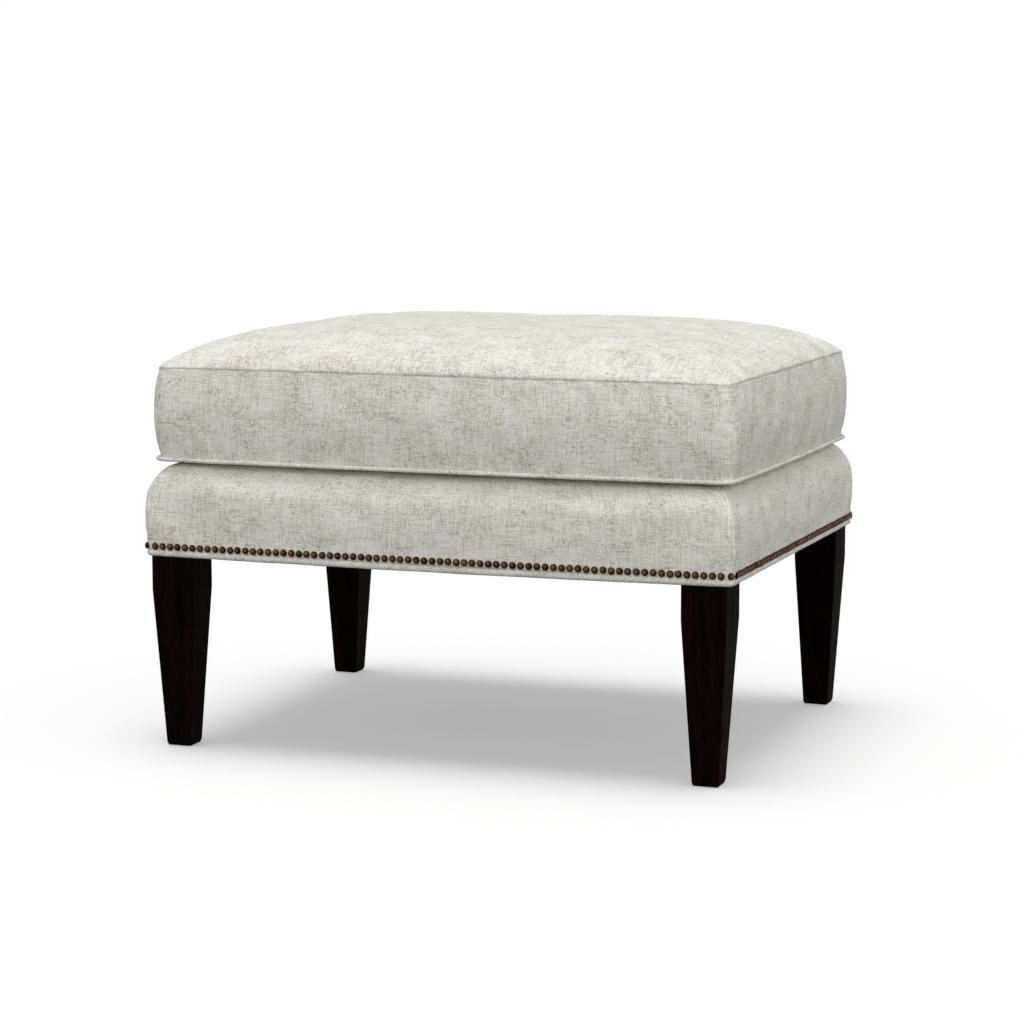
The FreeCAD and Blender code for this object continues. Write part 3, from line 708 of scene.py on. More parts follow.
def remove_loose(obj: bpy.types.Object) -> None:
    """Removes the points that no face uses.

    Args:
        obj: Object whose mesh is cleaned.
    """
    work = bmesh.new()
    work.from_mesh(obj.data)
    loose = [vertex for vertex in work.verts if not vertex.link_faces]
    bmesh.ops.delete(work, geom=loose, context="VERTS")
    work.to_mesh(obj.data)
    work.free()


def path_lengths(points: np.ndarray, axis: int) -> np.ndarray:
    """Length along grid lines, counted from their middle.

    Args:
        points: Rows, columns and three coordinates.
        axis: 0 for lines down the rows and 1 for lines along the columns.

    Returns:
        Rows and columns of lengths.
    """
    steps = np.linalg.norm(np.diff(points, axis=axis), axis=2)
    zero = np.zeros_like(np.take(steps, [0], axis=axis))
    run = np.concatenate([zero, np.cumsum(steps, axis=axis)], axis=axis)
    middle = np.take(run, [run.shape[axis] // 2], axis=axis)
    return run - middle


def unevenness(points: np.ndarray, size: float, shift: float) -> np.ndarray:
    """Smooth noise at each point.

    Args:
        points: Points in millimetres, three numbers each, in any grid shape.
        size: Size of the lumps in millimetres.
        shift: Offset that keeps patterns apart.

    Returns:
        Values from about -1 to 1, in the same grid shape.
    """
    offset = Vector((shift, 1.7 * shift, -shift))
    flat = points.reshape(-1, 3) / size
    values = [noise.noise(Vector(point) + offset) for point in flat]
    return np.array(values).reshape(points.shape[:-1])


@dataclass(frozen=True)
class Filling:
    """Settings of the cloth simulation that swells and settles a cover on its filling."""

    pressure: float = 4.0
    frames: int = 16
    slack: float = -0.012  # share by which the cloth shrinks; below 0 it is longer than the form
    limit: float = 1.6  # the furthest that a point may move, in millimetres
    reach: int = 5  # cells that count as even swelling, which the form already has

    def settle(self, obj: bpy.types.Object, held: np.ndarray) -> np.ndarray:
        """Runs the simulation and reads the settled points.

        Args:
            obj: Object with the starting mesh, in metres. It is left as it was.
            held: Whether each point is held by a seam or by what it rests on.

        Returns:
            How far each point moved, in millimetres.
        """
        start = np.empty(len(obj.data.vertices) * 3, np.float32)
        obj.data.vertices.foreach_get("co", start)
        start = start.reshape(-1, 3).astype(float)
        group = obj.vertex_groups.new(name="held")
        group.add([int(i) for i in np.flatnonzero(held)], 1.0, "REPLACE")
        modifier = obj.modifiers.new("Filling", "CLOTH")
        cloth = modifier.settings
        cloth.quality = 6
        cloth.mass = 0.35
        cloth.tension_stiffness = 18
        cloth.compression_stiffness = 18
        cloth.shear_stiffness = 6
        cloth.bending_stiffness = 1.2
        cloth.air_damping = 2.0
        cloth.use_pressure = True
        cloth.uniform_pressure_force = self.pressure
        cloth.shrink_min = self.slack
        cloth.effector_weights.gravity = 0
        cloth.vertex_group_mass = "held"
        cloth.pin_stiffness = 5.0
        modifier.collision_settings.use_collision = False
        modifier.point_cache.frame_start = 1
        modifier.point_cache.frame_end = self.frames
        scene = bpy.context.scene
        for number in range(1, self.frames + 1):
            scene.frame_set(number)
        shaped = obj.evaluated_get(bpy.context.evaluated_depsgraph_get())
        end = np.empty(len(shaped.data.vertices) * 3, np.float32)
        shaped.data.vertices.foreach_get("co", end)
        obj.modifiers.remove(modifier)
        obj.vertex_groups.clear()
        scene.frame_set(1)
        return (end.reshape(-1, 3).astype(float) - start) / MM


def local_part(moved: np.ndarray, reach: int, closed: bool, limit: float) -> np.ndarray:
    """Keeps the folds and hollows of a settled grid and takes off its even swelling.

    Args:
        moved: Rows, columns and three movements in millimetres.
        reach: Cells on each side that count as even.
        closed: Whether the columns run round in a ring.
        limit: The furthest that a point may move, in millimetres.

    Returns:
        The movements that are left.
    """
    even = moved
    for axis, ring in ((0, False), (1, closed)):
        pad = [(0, 0)] * 3
        pad[axis] = (reach, reach)
        wide = np.pad(even, pad, mode="wrap" if ring else "edge")
        parts = [np.roll(wide, -step, axis=axis) for step in range(2 * reach + 1)]
        even = np.mean(parts, axis=0)
        even = np.take(even, range(moved.shape[axis]), axis=axis)
    local = moved - even
    length = np.linalg.norm(local, axis=-1, keepdims=True)
    return local * np.minimum(1.0, limit / np.maximum(length, 1e-9))


@dataclass(frozen=True)
class Relief:
    """Small unevenness of a panel: puckers beside its seams and soft lumps away from them."""

    pucker: float
    pucker_size: float
    pucker_reach: float  # from the seam to where the puckers fade
    lump: float
    lump_size: float


@dataclass
class Cushion:
    """Loose box cushion with a crowned top, a plain top seam, a bottom welt and a zip."""

    across: int = 92
    deep: int = 70
    crown_height: float = 46.6
    edge_power: float = 4.28
    rise_power: float = 0.532
    front_bow: float = 6.0
    side_bow: float = 4.0
    corner_radius: float = 9.0
    bulge: float = 6.5
    underside_inset: float = 12.0
    underside_rise: float = 3.0
    welt_radius: float = 2.5
    seam_depth: float = 0.6
    cloth_gap: float = 0.3
    zip_half: float = 4.4
    zip_end: float = 3.0  # from the end of the teeth to the end of the slot
    zip_dent: float = 1.7
    side_relief: Relief = Relief(0.55, 11.0, 13.0, 0.7, 75.0)
    top_relief: Relief = Relief(0.5, 12.0, 12.0, 1.1, 95.0)
    filling: Filling = field(default_factory=Filling)

    def __post_init__(self) -> None:
        """Takes its place from the CAD nodes."""
        low, high = (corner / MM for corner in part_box("cushion_bottom_panel"))
        boxing_low, boxing_high = (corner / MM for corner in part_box("cushion_boxing"))
        self.half_x = high.x - self.side_bow
        self.half_y = high.y
        self.bottom = low.z
        self.bottom_seam = boxing_low.z
        self.top_seam = boxing_high.z
        teeth_low, teeth_high = (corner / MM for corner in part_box("zip_teeth"))
        self.zip_half_length = teeth_high.x + self.zip_end
        self.zip_level = (teeth_low.z + teeth_high.z) / 2
        self.back_face = teeth_low.y

    def shares(self, count: int) -> np.ndarray:
        """Grid lines from -1 to 1 that crowd towards the seams.

        Args:
            count: Number of cells before the two thin ones at the seams.

        Returns:
            The lines, in rising order.
        """
        even = np.linspace(-1, 1, count + 1)
        crowded = 0.28 * even + 0.72 * np.sin(math.pi / 2 * even)
        near_seam = 1 - 0.00025
        return np.concatenate([[-1], [-near_seam], crowded[1:-1], [near_seam], [1]])

    def plan(self, u: np.ndarray, v: np.ndarray) -> np.ndarray:
        """Places shares of the plan in the bowed rectangle with rounded corners.

        Args:
            u: Shares along X.
            v: Shares along Y.

        Returns:
            X and Y of each, with a third coordinate of 0.
        """
        x = u * self.half_x
        y = v * self.half_y
        radius = 1.6 * self.corner_radius
        corner_x = np.clip((np.abs(x) - self.half_x + radius) / radius, 0, 1)
        corner_y = np.clip((np.abs(y) - self.half_y + radius) / radius, 0, 1)
        x = x - np.sign(x) * radius * corner_x * (1 - np.sqrt(1 - corner_y**2 / 2))
        y = y - np.sign(y) * radius * corner_y * (1 - np.sqrt(1 - corner_x**2 / 2))
        x = x + u * self.side_bow * (1 - v**2)
        y = y + np.minimum(v, 0) * self.front_bow * (1 - u**2)
        return np.stack([x, y, np.zeros_like(x)], axis=-1)

    def outline(self, grid: np.ndarray) -> np.ndarray:
        """Reads a grid's edge once round, against the clock from the front left corner."""
        return np.concatenate([grid[0, :-1], grid[:-1, -1], grid[-1, :0:-1], grid[:0:-1, 0]])

    def outward(self, ring: np.ndarray) -> np.ndarray:
        """Level way out at each point of a closed ring.

        Args:
            ring: Points of the ring, against the clock.

        Returns:
            A level unit vector for each.
        """
        along = np.roll(ring, -1, axis=0) - np.roll(ring, 1, axis=0)
        out = np.stack([along[:, 1], -along[:, 0], np.zeros(len(ring))], axis=1)
        return out / np.linalg.norm(out, axis=1, keepdims=True)

    def boxing_shares(self) -> np.ndarray:
        """Rows of the boxing from the top seam down, with close rows at its seams and zip.

        Returns:
            Shares of its height, from 0 at the top seam to 1 at the bottom seam.
        """
        height = self.top_seam - self.bottom_seam
        middle = (self.top_seam - self.zip_level) / height
        slot = self.zip_half / height
        edge = 0.8 / height
        rows = [0, edge, 4 * edge, 0.075, 0.14, 0.2, 0.265, 0.33, 0.395, middle - 2.4 * slot]
        rows += [middle - 1.12 * slot, middle - 0.94 * slot, middle, middle + 0.94 * slot]
        rows += [middle + 1.12 * slot, middle + 2.4 * slot, 0.64, 0.7, 0.76, 0.82, 0.88]
        return np.array(rows + [0.94, 1 - 4 * edge, 1 - edge, 1])

    def crown(self, u: np.ndarray, v: np.ndarray) -> np.ndarray:
        """Height of the crown over the top seam at shares of the plan."""
        inside = (1 - np.abs(u) ** self.edge_power) * (1 - np.abs(v) ** self.edge_power)
        return self.crown_height * np.maximum(inside, 0) ** self.rise_power

    def cover(self) -> bpy.types.Object:
        """Builds the cover: form, simulation on the filling, then seams and puckers.

        Returns:
            The finished cover.
        """
        u, v = np.meshgrid(self.shares(self.across), self.shares(self.deep))
        top = self.plan(u, v)
        top[..., 2] = self.top_seam + self.crown(u, v)
        seam_ring = self.outline(self.plan(u, v))
        out = self.outward(seam_ring)
        rows = []
        for share in self.boxing_shares():
            row = seam_ring + out * (self.bulge * math.sin(math.pi * share))
            row[:, 2] = self.top_seam - (self.top_seam - self.bottom_seam) * share
            rows.append(row)
        side = np.stack(rows)
        under = self.plan(u, v)
        distance = np.minimum(self.half_x * (1 - np.abs(u)), self.half_y * (1 - np.abs(v)))
        lift = np.clip(1 - distance / self.underside_inset, 0, 1) ** 2
        under[..., 2] = self.bottom + self.underside_rise * lift

        maker, grids = self.assembled(top, side, under, None)
        start = maker.build("cushion_form")
        points = np.concatenate(maker.points)
        held = np.zeros(len(points), bool)
        held[self.outline(grids["top"])] = True
        held[grids["under"].reshape(-1)] = True
        back = np.abs(points[:, 1] - self.back_face) < 3.0
        near_zip = np.abs(points[:, 2] - self.zip_level) < 2.6 * self.zip_half
        held |= back & near_zip
        moved = self.filling.settle(start, held)
        local = np.zeros_like(points)
        for name, closed in (("top", False), ("side", True)):
            grid = grids[name]
            shift = local_part(moved[grid], self.filling.reach, closed, self.filling.limit)
            local[grid] = shift
        local[held] = 0
        points = points + local
        bpy.data.objects.remove(start)
        top = points[grids["top"]]
        under = points[grids["under"]]
        side = np.concatenate(
            [self.outline(top)[None], points[grids["side"]], self.outline(under)[None]]
        )
        return self.sewn(top, side, under)

    def assembled(
        self, top: np.ndarray, side: np.ndarray, under: np.ndarray, seams: dict[str, np.ndarray] | None
    ) -> tuple[MeshMaker, dict[str, np.ndarray]]:
        """Joins top, boxing and underside to one closed cover.

        Args:
            top: Grid of the top panel.
            side: Rows of the boxing, the two seams among them.
            under: Grid of the bottom panel.
            seams: Mark of each grid that paints shade in its seams, or None.

        Returns:
            The maker and the point indices of each grid.
        """
        marks = seams or {"top": None, "side": None, "under": None}
        maker = MeshMaker()
        top_grid = maker.add_points(top, marks["top"])
        under_grid = maker.add_points(under, marks["under"])
        side_marks = None if marks["side"] is None else marks["side"][1:-1]
        side_grid = maker.add_points(side[1:-1], side_marks)
        rows = np.concatenate(
            [self.outline(top_grid)[None], side_grid, self.outline(under_grid)[None]]
        )
        closed = np.concatenate([rows, rows[:, :1]], axis=1)
        shut = np.concatenate([side, side[:, :1]], axis=1)
        run = path_lengths(shut, 1)
        fall = path_lengths(shut, 0)
        along = np.broadcast_to(run[len(run) // 2], run.shape)
        places = np.stack([along, -fall, np.full(run.shape, 300.0)], axis=-1)
        maker.add_grid(closed, places, flipped=True)
        lengths = [path_lengths(top, 1), path_lengths(top, 0)]
        maker.add_grid(top_grid, np.stack([*lengths, np.full(top.shape[:2], 0.0)], axis=-1))
        flat = np.stack([under[..., 0], under[..., 1], np.full(under.shape[:2], 600.0)], axis=-1)
        maker.add_grid(under_grid, flat, flipped=True)
        return maker, {"top": top_grid, "side": side_grid, "under": under_grid}

    def sewn(self, top: np.ndarray, side: np.ndarray, under: np.ndarray) -> bpy.types.Object:
        """Presses the seams in, puckers the cloth beside them and dents the zip.

        Args:
            top: Settled grid of the top panel.
            side: Settled rows of the boxing.
            under: Settled grid of the bottom panel.

        Returns:
            The finished cover.
        """
        shares = self.boxing_shares()
        height = self.top_seam - self.bottom_seam
        out = self.outward(side[0])
        run = path_lengths(side, 1)[0]
        relief = self.side_relief
        for index, share in enumerate(shares):
            near = min(share, 1 - share) * height
            spots = np.stack([run, np.full_like(run, 40 * share), np.zeros_like(run)], axis=-1)
            fade = math.exp(-near / relief.pucker_reach)
            pucker = relief.pucker * fade * unevenness(spots, relief.pucker_size, 4.0)
            swell = math.sin(math.pi * share)
            lump = relief.lump * swell * unevenness(side[index], relief.lump_size, 9.0)
            side[index] = side[index] + out * (pucker + lump)[:, None]
        side[0] = side[0] - out * self.seam_depth
        side[-1] = side[-1] - out * 0.6 * self.seam_depth
        in_slot = (
            (np.abs(side[..., 2] - self.zip_level) < self.zip_half)
            & (np.abs(side[..., 0]) < self.zip_half_length)
            & (side[..., 1] > 0)
        )
        side[..., 1] = np.where(in_slot, self.back_face - self.zip_dent, side[..., 1])

        relief = self.top_relief
        rise = top[..., 2] - self.top_seam
        weight = np.exp(-np.maximum(rise, 0) / relief.pucker_reach)
        inside = np.ones(top.shape[:2])
        inside[0], inside[-1], inside[:, 0], inside[:, -1] = 0, 0, 0, 0
        level = top * np.array([1, 1, 0.3])
        pucker = relief.pucker * weight * unevenness(level, relief.pucker_size, 6.0)
        lump = relief.lump * unevenness(top, relief.lump_size, 2.0)
        top[..., 2] += inside * (pucker + lump * (1 - weight))
        edge = self.outline(np.arange(top.shape[0] * top.shape[1]).reshape(top.shape[:2]))
        flat_top = top.reshape(-1, 3)
        flat_top[edge] = side[0]
        flat_under = under.reshape(-1, 3)
        flat_under[edge] = side[-1]

        # Painted shade: the points of the top and bottom seams are marked, and the cloth is drawn darker
        # there
        painted_seam_shade = {
            "top": np.zeros(top.shape[:2]),
            "side": np.zeros(side.shape[:2]),
            "under": np.zeros(under.shape[:2]),
        }
        painted_seam_shade["top"].reshape(-1)[edge] = 1.0
        painted_seam_shade["under"].reshape(-1)[edge] = 1.0
        maker, grids = self.assembled(top, side, under, painted_seam_shade)
        cover = maker.build("cushion_cover")
        ends: set[tuple[int, int]] = set()
        for name in ("top", "under"):
            ring = self.outline(grids[name])
            pairs = zip(ring, np.roll(ring, -1))
            ends |= {(int(min(pair)), int(max(pair))) for pair in pairs}
        crease_edges(cover, ends, 0.8)
        add_smoothing(cover, 1)
        return cover

    def welt(self) -> bpy.types.Object:
        """Builds the covered cord that is sewn into the bottom seam.

        Returns:
            The welt.
        """
        u, v = np.meshgrid(self.shares(self.across), self.shares(self.deep))
        ring = self.outline(self.plan(u, v))
        ring = ring + self.outward(ring) * (self.welt_radius + self.cloth_gap)
        ring[:, 2] = self.bottom_seam
        return Cord("cushion_bottom_welt", self.welt_radius, seed=5.0).around(ring)


@dataclass
class Cord:
    """Cord covered with cloth cut on the bias, round a closed line."""

    name: str
    radius: float
    sides: int = 12
    wobble: float = 0.25
    seed: float = 0.0

    def around(self, ring: np.ndarray) -> bpy.types.Object:
        """Builds the cord round a closed line.

        Args:
            ring: Points of its middle line in millimetres.

        Returns:
            The cord.
        """
        along = np.roll(ring, -1, axis=0) - np.roll(ring, 1, axis=0)
        along /= np.linalg.norm(along, axis=1, keepdims=True)
        up = np.array([0.0, 0.0, 1.0])
        out = np.cross(along, up)
        out /= np.linalg.norm(out, axis=1, keepdims=True)
        rise = np.cross(out, along)
        steps = np.linalg.norm(np.roll(ring, -1, axis=0) - ring, axis=1)
        run = np.concatenate([[0], np.cumsum(steps)])
        thick = self.radius + self.wobble * unevenness(ring, 16.0, self.seed)
        drift = self.wobble * unevenness(ring, 45.0, self.seed + 3)
        rows = []
        for number in range(self.sides):
            turn = 2 * math.pi * number / self.sides
            way = out * math.cos(turn) + rise * math.sin(turn)
            rows.append(ring + way * thick[:, None] + rise * drift[:, None])
        grid_points = np.stack(rows)
        maker = MeshMaker()
        indices = maker.add_points(grid_points)
        indices = np.concatenate([indices, indices[:1]], axis=0)
        indices = np.concatenate([indices, indices[:, :1]], axis=1)
        round_run = 2 * math.pi * self.radius * np.arange(self.sides + 1) / self.sides
        place_run, place_round = np.meshgrid(run, round_run)
        places = np.stack([place_run, place_round, np.full(place_run.shape, 900.0)], axis=-1)
        maker.add_grid(indices, places)
        cord = maker.build(self.name)
        add_smoothing(cord, 1)
        return cord


@dataclass
class BaseCover:
    """Cover of the base: four bands sewn at the corners, rolled over the top edge."""

    roll_radius: float = 42.0
    corner_radius: float = 9.0
    bulge: float = 1.3
    deck_seam_inset: float = 60.0
    seam_depth: float = 0.5
    side_columns: int = 46
    end_columns: int = 36
    padding: float = 7.0
    held_rows: int = 4  # at the welt and at the deck, which the seams hold
    lump: float = 0.7
    lump_size: float = 60.0
    filling: Filling = field(default_factory=lambda: Filling(pressure=3.0, limit=1.2))

    def __post_init__(self) -> None:
        """Takes its place from the CAD nodes."""
        low, high = (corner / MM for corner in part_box("band_right"))
        front_low, _ = (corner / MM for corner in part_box("band_front"))
        self.half_x = high.x - self.bulge
        self.half_y = -front_low.y - self.bulge
        self.band_bottom = low.z
        self.deck = high.z
        self.roll_start = self.deck - self.roll_radius

    def corner_turns(self) -> np.ndarray:
        """Angles across a corner, closer to its seam."""
        half = np.array([-45, -30, -18, -9, 0, 9, 18, 30, 45])
        return np.radians(half)

    def columns(self) -> tuple[np.ndarray, np.ndarray, list[int]]:
        """Lays out the columns round the base.

        Returns:
            For each column its share of the straight sides as signed X and Y corners with a
            way out, the way out itself, and the columns at which the corner seams lie.
        """
        anchors: list[tuple[float, float, float, float]] = []
        seams = []
        counts = [self.side_columns, self.end_columns] * 2
        for number, corner in enumerate(CORNERS):
            middle = math.radians(225 + 90 * number)
            turns = middle + self.corner_turns()
            seams.append(len(anchors) + len(turns) // 2)
            for turn in turns:
                anchors.append((*corner, math.cos(turn), math.sin(turn)))
            following = CORNERS[(number + 1) % 4]
            way = middle + math.pi / 4
            for step in range(1, counts[number]):
                share = step / counts[number]
                x = corner[0] + (following[0] - corner[0]) * share
                y = corner[1] + (following[1] - corner[1]) * share
                anchors.append((x, y, math.cos(way), math.sin(way)))
        table = np.array(anchors)
        return table[:, :2], table[:, 2:], seams

    def profile(self) -> np.ndarray:
        """Rows of the cover as an inset from the side and a height, from the welt up.

        Returns:
            Two columns: the inset and the height of each row.
        """
        rows = [(2.2, self.band_bottom - 2.6), (0.5, self.band_bottom - 1.0)]
        for share in np.linspace(0, 1, 10):
            height = self.band_bottom + share * (self.roll_start - self.band_bottom)
            rows.append((-4 * self.bulge * share * (1 - share), height))
        for turn in np.linspace(0, math.pi / 2, 13)[1:]:
            inset = self.roll_radius * (1 - math.cos(turn))
            rows.append((inset, self.roll_start + self.roll_radius * math.sin(turn)))
        for inset in (48.0, 54.0, 58.4, self.deck_seam_inset):
            rows.append((inset, self.deck))
        return np.array(rows)

    def form(self) -> tuple[np.ndarray, np.ndarray, list[int]]:
        """Points of the cover.

        Returns:
            Rows and columns of points, the way out of each column, and the seam columns.
        """
        anchors, ways, seams = self.columns()
        rows = []
        for inset, height in self.profile():
            half = np.array([self.half_x - inset, self.half_y - inset])
            centre = anchors * (half - self.corner_radius)
            flat = centre + ways * self.corner_radius
            rows.append(np.concatenate([flat, np.full((len(flat), 1), height)], axis=1))
        return np.stack(rows), ways, seams

    def bands(self) -> dict[str, bpy.types.Object]:
        """Builds the four bands with their padding.

        Returns:
            The band of each side.
        """
        points, ways, seams = self.form()
        rows, columns = points.shape[:2]
        maker = MeshMaker()
        indices = maker.add_points(points)
        ring = np.concatenate([indices, indices[:, :1]], axis=1)
        maker.add_grid(ring, np.zeros((*ring.shape, 3)))
        start = maker.build("base_form")
        held = np.zeros((rows, columns), bool)
        held[: self.held_rows] = True
        held[-self.held_rows :] = True
        held[:, seams] = True
        moved = self.filling.settle(start, held.reshape(-1)).reshape(points.shape)
        shift = local_part(moved, self.filling.reach, True, self.filling.limit)
        shift[held] = 0
        points = points + shift
        bpy.data.objects.remove(start)
        side_way = np.concatenate([ways, np.zeros((columns, 1))], axis=1)
        profile = self.profile()
        rolled = np.clip((profile[:, 1] - self.roll_start) / self.roll_radius, 0, 1)
        for row in range(self.held_rows, rows - self.held_rows):
            lift = rolled[row]
            way = side_way * math.sqrt(max(1 - lift**2, 0)) + np.array([0, 0, lift])
            lumps = self.lump * unevenness(points[row], self.lump_size, 14.0)
            points[row] = points[row] + way * lumps[:, None]
        # Painted shade: the corner seams and the deck seam are marked, and the cloth is drawn darker there
        painted_seam_shade_line = np.zeros((rows, columns))
        for seam in seams:
            for row in range(rows):
                lift = rolled[row]
                way = side_way[seam] * math.sqrt(max(1 - lift**2, 0))
                points[row, seam] -= (way + np.array([0, 0, lift])) * self.seam_depth
            painted_seam_shade_line[:, seam] = 1.0
        painted_seam_shade_line[-1] = 1.0
        made = {}
        for number, side in enumerate(("front", "right", "back", "left")):
            first = seams[number]
            last = seams[(number + 1) % 4] + (columns if number == 3 else 0)
            chosen = np.arange(first, last + 1) % columns
            strip = points[:, chosen]
            along = path_lengths(strip, 1)
            level = np.broadcast_to(along[4], along.shape)
            fall_strip = path_lengths(strip, 0)
            places = np.stack(
                [level, fall_strip, np.full(along.shape, 1200.0 + 150 * number)], axis=-1
            )
            maker = MeshMaker()
            indices = maker.add_points(strip, painted_seam_shade_line[:, chosen])
            maker.add_grid(indices, places)
            band = maker.build(f"base_cover_{side}")
            sharpen_edges(band, [indices[:, 0], indices[:, -1]])
            solid = band.modifiers.new("Padding", "SOLIDIFY")
            solid.thickness = self.padding * MM
            solid.offset = -1
            solid.edge_crease_outer = 1.0
            add_smoothing(band, 1)
            made[side] = band
        LOG.info("base cover: %d rows, %d columns", rows, columns)
        return made


@dataclass
class BaseWelt:
    """Thick welt along the foot of the base."""

    radius: float = 4.25
    bend: float = 5.75  # of its middle line at a corner
    bend_points: int = 7
    spacing: float = 8.0  # between points along a side
    sag: float = 1.8  # how far the front and the back hang at their middle

    def build(self) -> bpy.types.Object:
        """Builds the welt where the CAD has it.

        Returns:
            The welt.
        """
        low, high = (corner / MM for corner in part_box("base_welt"))
        half_x = high.x - self.radius - self.bend
        half_y = high.y - self.radius - self.bend
        level = (low.z + high.z) / 2
        points = []
        for number, (x, y) in enumerate(CORNERS):
            middle = math.radians(225 + 90 * number)
            for turn in np.linspace(-math.pi / 4, math.pi / 4, self.bend_points):
                out_x = self.bend * math.cos(middle + turn)
                out_y = self.bend * math.sin(middle + turn)
                points.append((x * half_x + out_x, y * half_y + out_y, level))
            way = (math.cos(middle + math.pi / 4), math.sin(middle + math.pi / 4))
            on_long = abs(way[1]) > 0.5
            run = 2 * (half_x if on_long else half_y)
            count = round(run / self.spacing)
            start = points[-1]
            for step in range(1, count):
                share = step / count
                drop = self.sag * (1 - (2 * share - 1) ** 2) if on_long else 0.0
                along_x = start[0] - way[1] * run * share
                along_y = start[1] + way[0] * run * share
                points.append((along_x, along_y, level - drop))
        cord = Cord("base_foot_welt", self.radius, sides=14, wobble=0.3, seed=8.0)
        return cord.around(np.array(points))


@dataclass
class NailTrim:
    """Close row of domed nails above the welt."""

    radius: float = 4.1
    height: float = 3.0
    pitch: float = 9.55
    end_inset: float = 13.0
    stand_off: float = 1.0  # of the row's line from the side of the base
    tilt: float = 0.035  # spread of the slopes of the heads
    slip: float = 0.14  # spread of their places
    segments: int = 20
    half_x: float = 352.0
    half_y: float = 274.85
    corner_radius: float = 9.0

    def dome(self) -> np.ndarray:
        """Rings of one head, from its flange to its crown, as a radius and a height.

        Returns:
            Two columns: the radius and the height of each ring.
        """
        rings = [(1.0, -0.1)]
        rings += [(math.cos(t), math.sin(t)) for t in np.radians([0, 14, 28, 42, 57, 72, 85])]
        return np.array(rings) * np.array([self.radius, self.height])

    def spots(self) -> dict[str, list[tuple[float, float, float]]]:
        """Plan position and turn of each nail, by side.

        Returns:
            For each side, the X, the Y and the turn in degrees of its nails.
        """
        made: dict[str, list[tuple[float, float, float]]] = {}
        ends = {"front": 0, "right": 90, "back": 180, "left": 270}
        for side, turn in ends.items():
            on_long = side in ("front", "back")
            half_along = self.half_x if on_long else self.half_y
            half_out = (self.half_y if on_long else self.half_x) + self.stand_off
            run = 2 * (half_along - self.end_inset)
            gaps = round(run / self.pitch)
            angle = math.radians(turn)
            made[side] = []
            for number in range(gaps + 1):
                along = -run / 2 + run * number / gaps
                x = along * math.cos(angle) + half_out * math.sin(angle)
                y = along * math.sin(angle) - half_out * math.cos(angle)
                made[side].append((x, y, turn))
        reach = (self.corner_radius + self.stand_off) * math.sqrt(0.5)
        for corner in CORNERS:
            side = "front" if corner[1] < 0 else "back"
            x = corner[0] * (self.half_x - self.corner_radius + reach)
            y = corner[1] * (self.half_y - self.corner_radius + reach)
            made[side].append((x, y, math.degrees(math.atan2(corner[1], corner[0])) + 90))
        return made

    def build(self) -> dict[str, bpy.types.Object]:
        """Builds the nails of each side as one object.

        Returns:
            The row of each side.
        """
        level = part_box("nailheads_front")
        height = (level[0].z + level[1].z) / 2 / MM
        chance = np.random.default_rng(SEED)
        rings = self.dome()
        turns = 2 * math.pi * np.arange(self.segments) / self.segments
        made = {}
        for side, spots in self.spots().items():
            maker = MeshMaker()
            for x, y, turn in spots:
                tilt = chance.normal(0, self.tilt, 2)
                slip = chance.normal(0, self.slip, 2)
                points = np.zeros((len(rings), self.segments, 3))
                for row, (radius, out) in enumerate(rings):
                    points[row, :, 0] = radius * np.cos(turns)
                    points[row, :, 2] = radius * np.sin(turns)
                    points[row, :, 1] = -out
                points[..., 1] += tilt[0] * points[..., 0] + tilt[1] * points[..., 2]
                angle = math.radians(turn)
                placed = np.empty_like(points)
                side_x = points[..., 0] + slip[0]
                placed[..., 0] = x + side_x * math.cos(angle) - points[..., 1] * math.sin(angle)
                placed[..., 1] = y + side_x * math.sin(angle) + points[..., 1] * math.cos(angle)
                placed[..., 2] = height + slip[1] + points[..., 2]
                # The crown is worn bright; painted highlight on the upper half of each head and painted
                # shade on the lower half
                wear_and_highlight = np.clip(rings[:, 1] / self.height, 0, 1) ** 2.2
                painted_highlight_and_shade = 0.5 + 0.5 * np.sin(turns) * rings[:, :1] / self.radius
                indices = maker.add_points(placed, wear_and_highlight[:, None] * painted_highlight_and_shade)
                closed = np.concatenate([indices, indices[:, :1]], axis=1)
                maker.add_grid(closed, np.zeros((*closed.shape, 3)), flipped=True)
                for row in (0, -1):
                    half = self.segments // 2
                    cap = np.stack([indices[row, :half], indices[row, ::-1][:half]])
                    maker.add_grid(cap, np.zeros((*cap.shape, 3)), flipped=row == 0)
            made[side] = maker.build(f"nail_row_{side}")
        return made


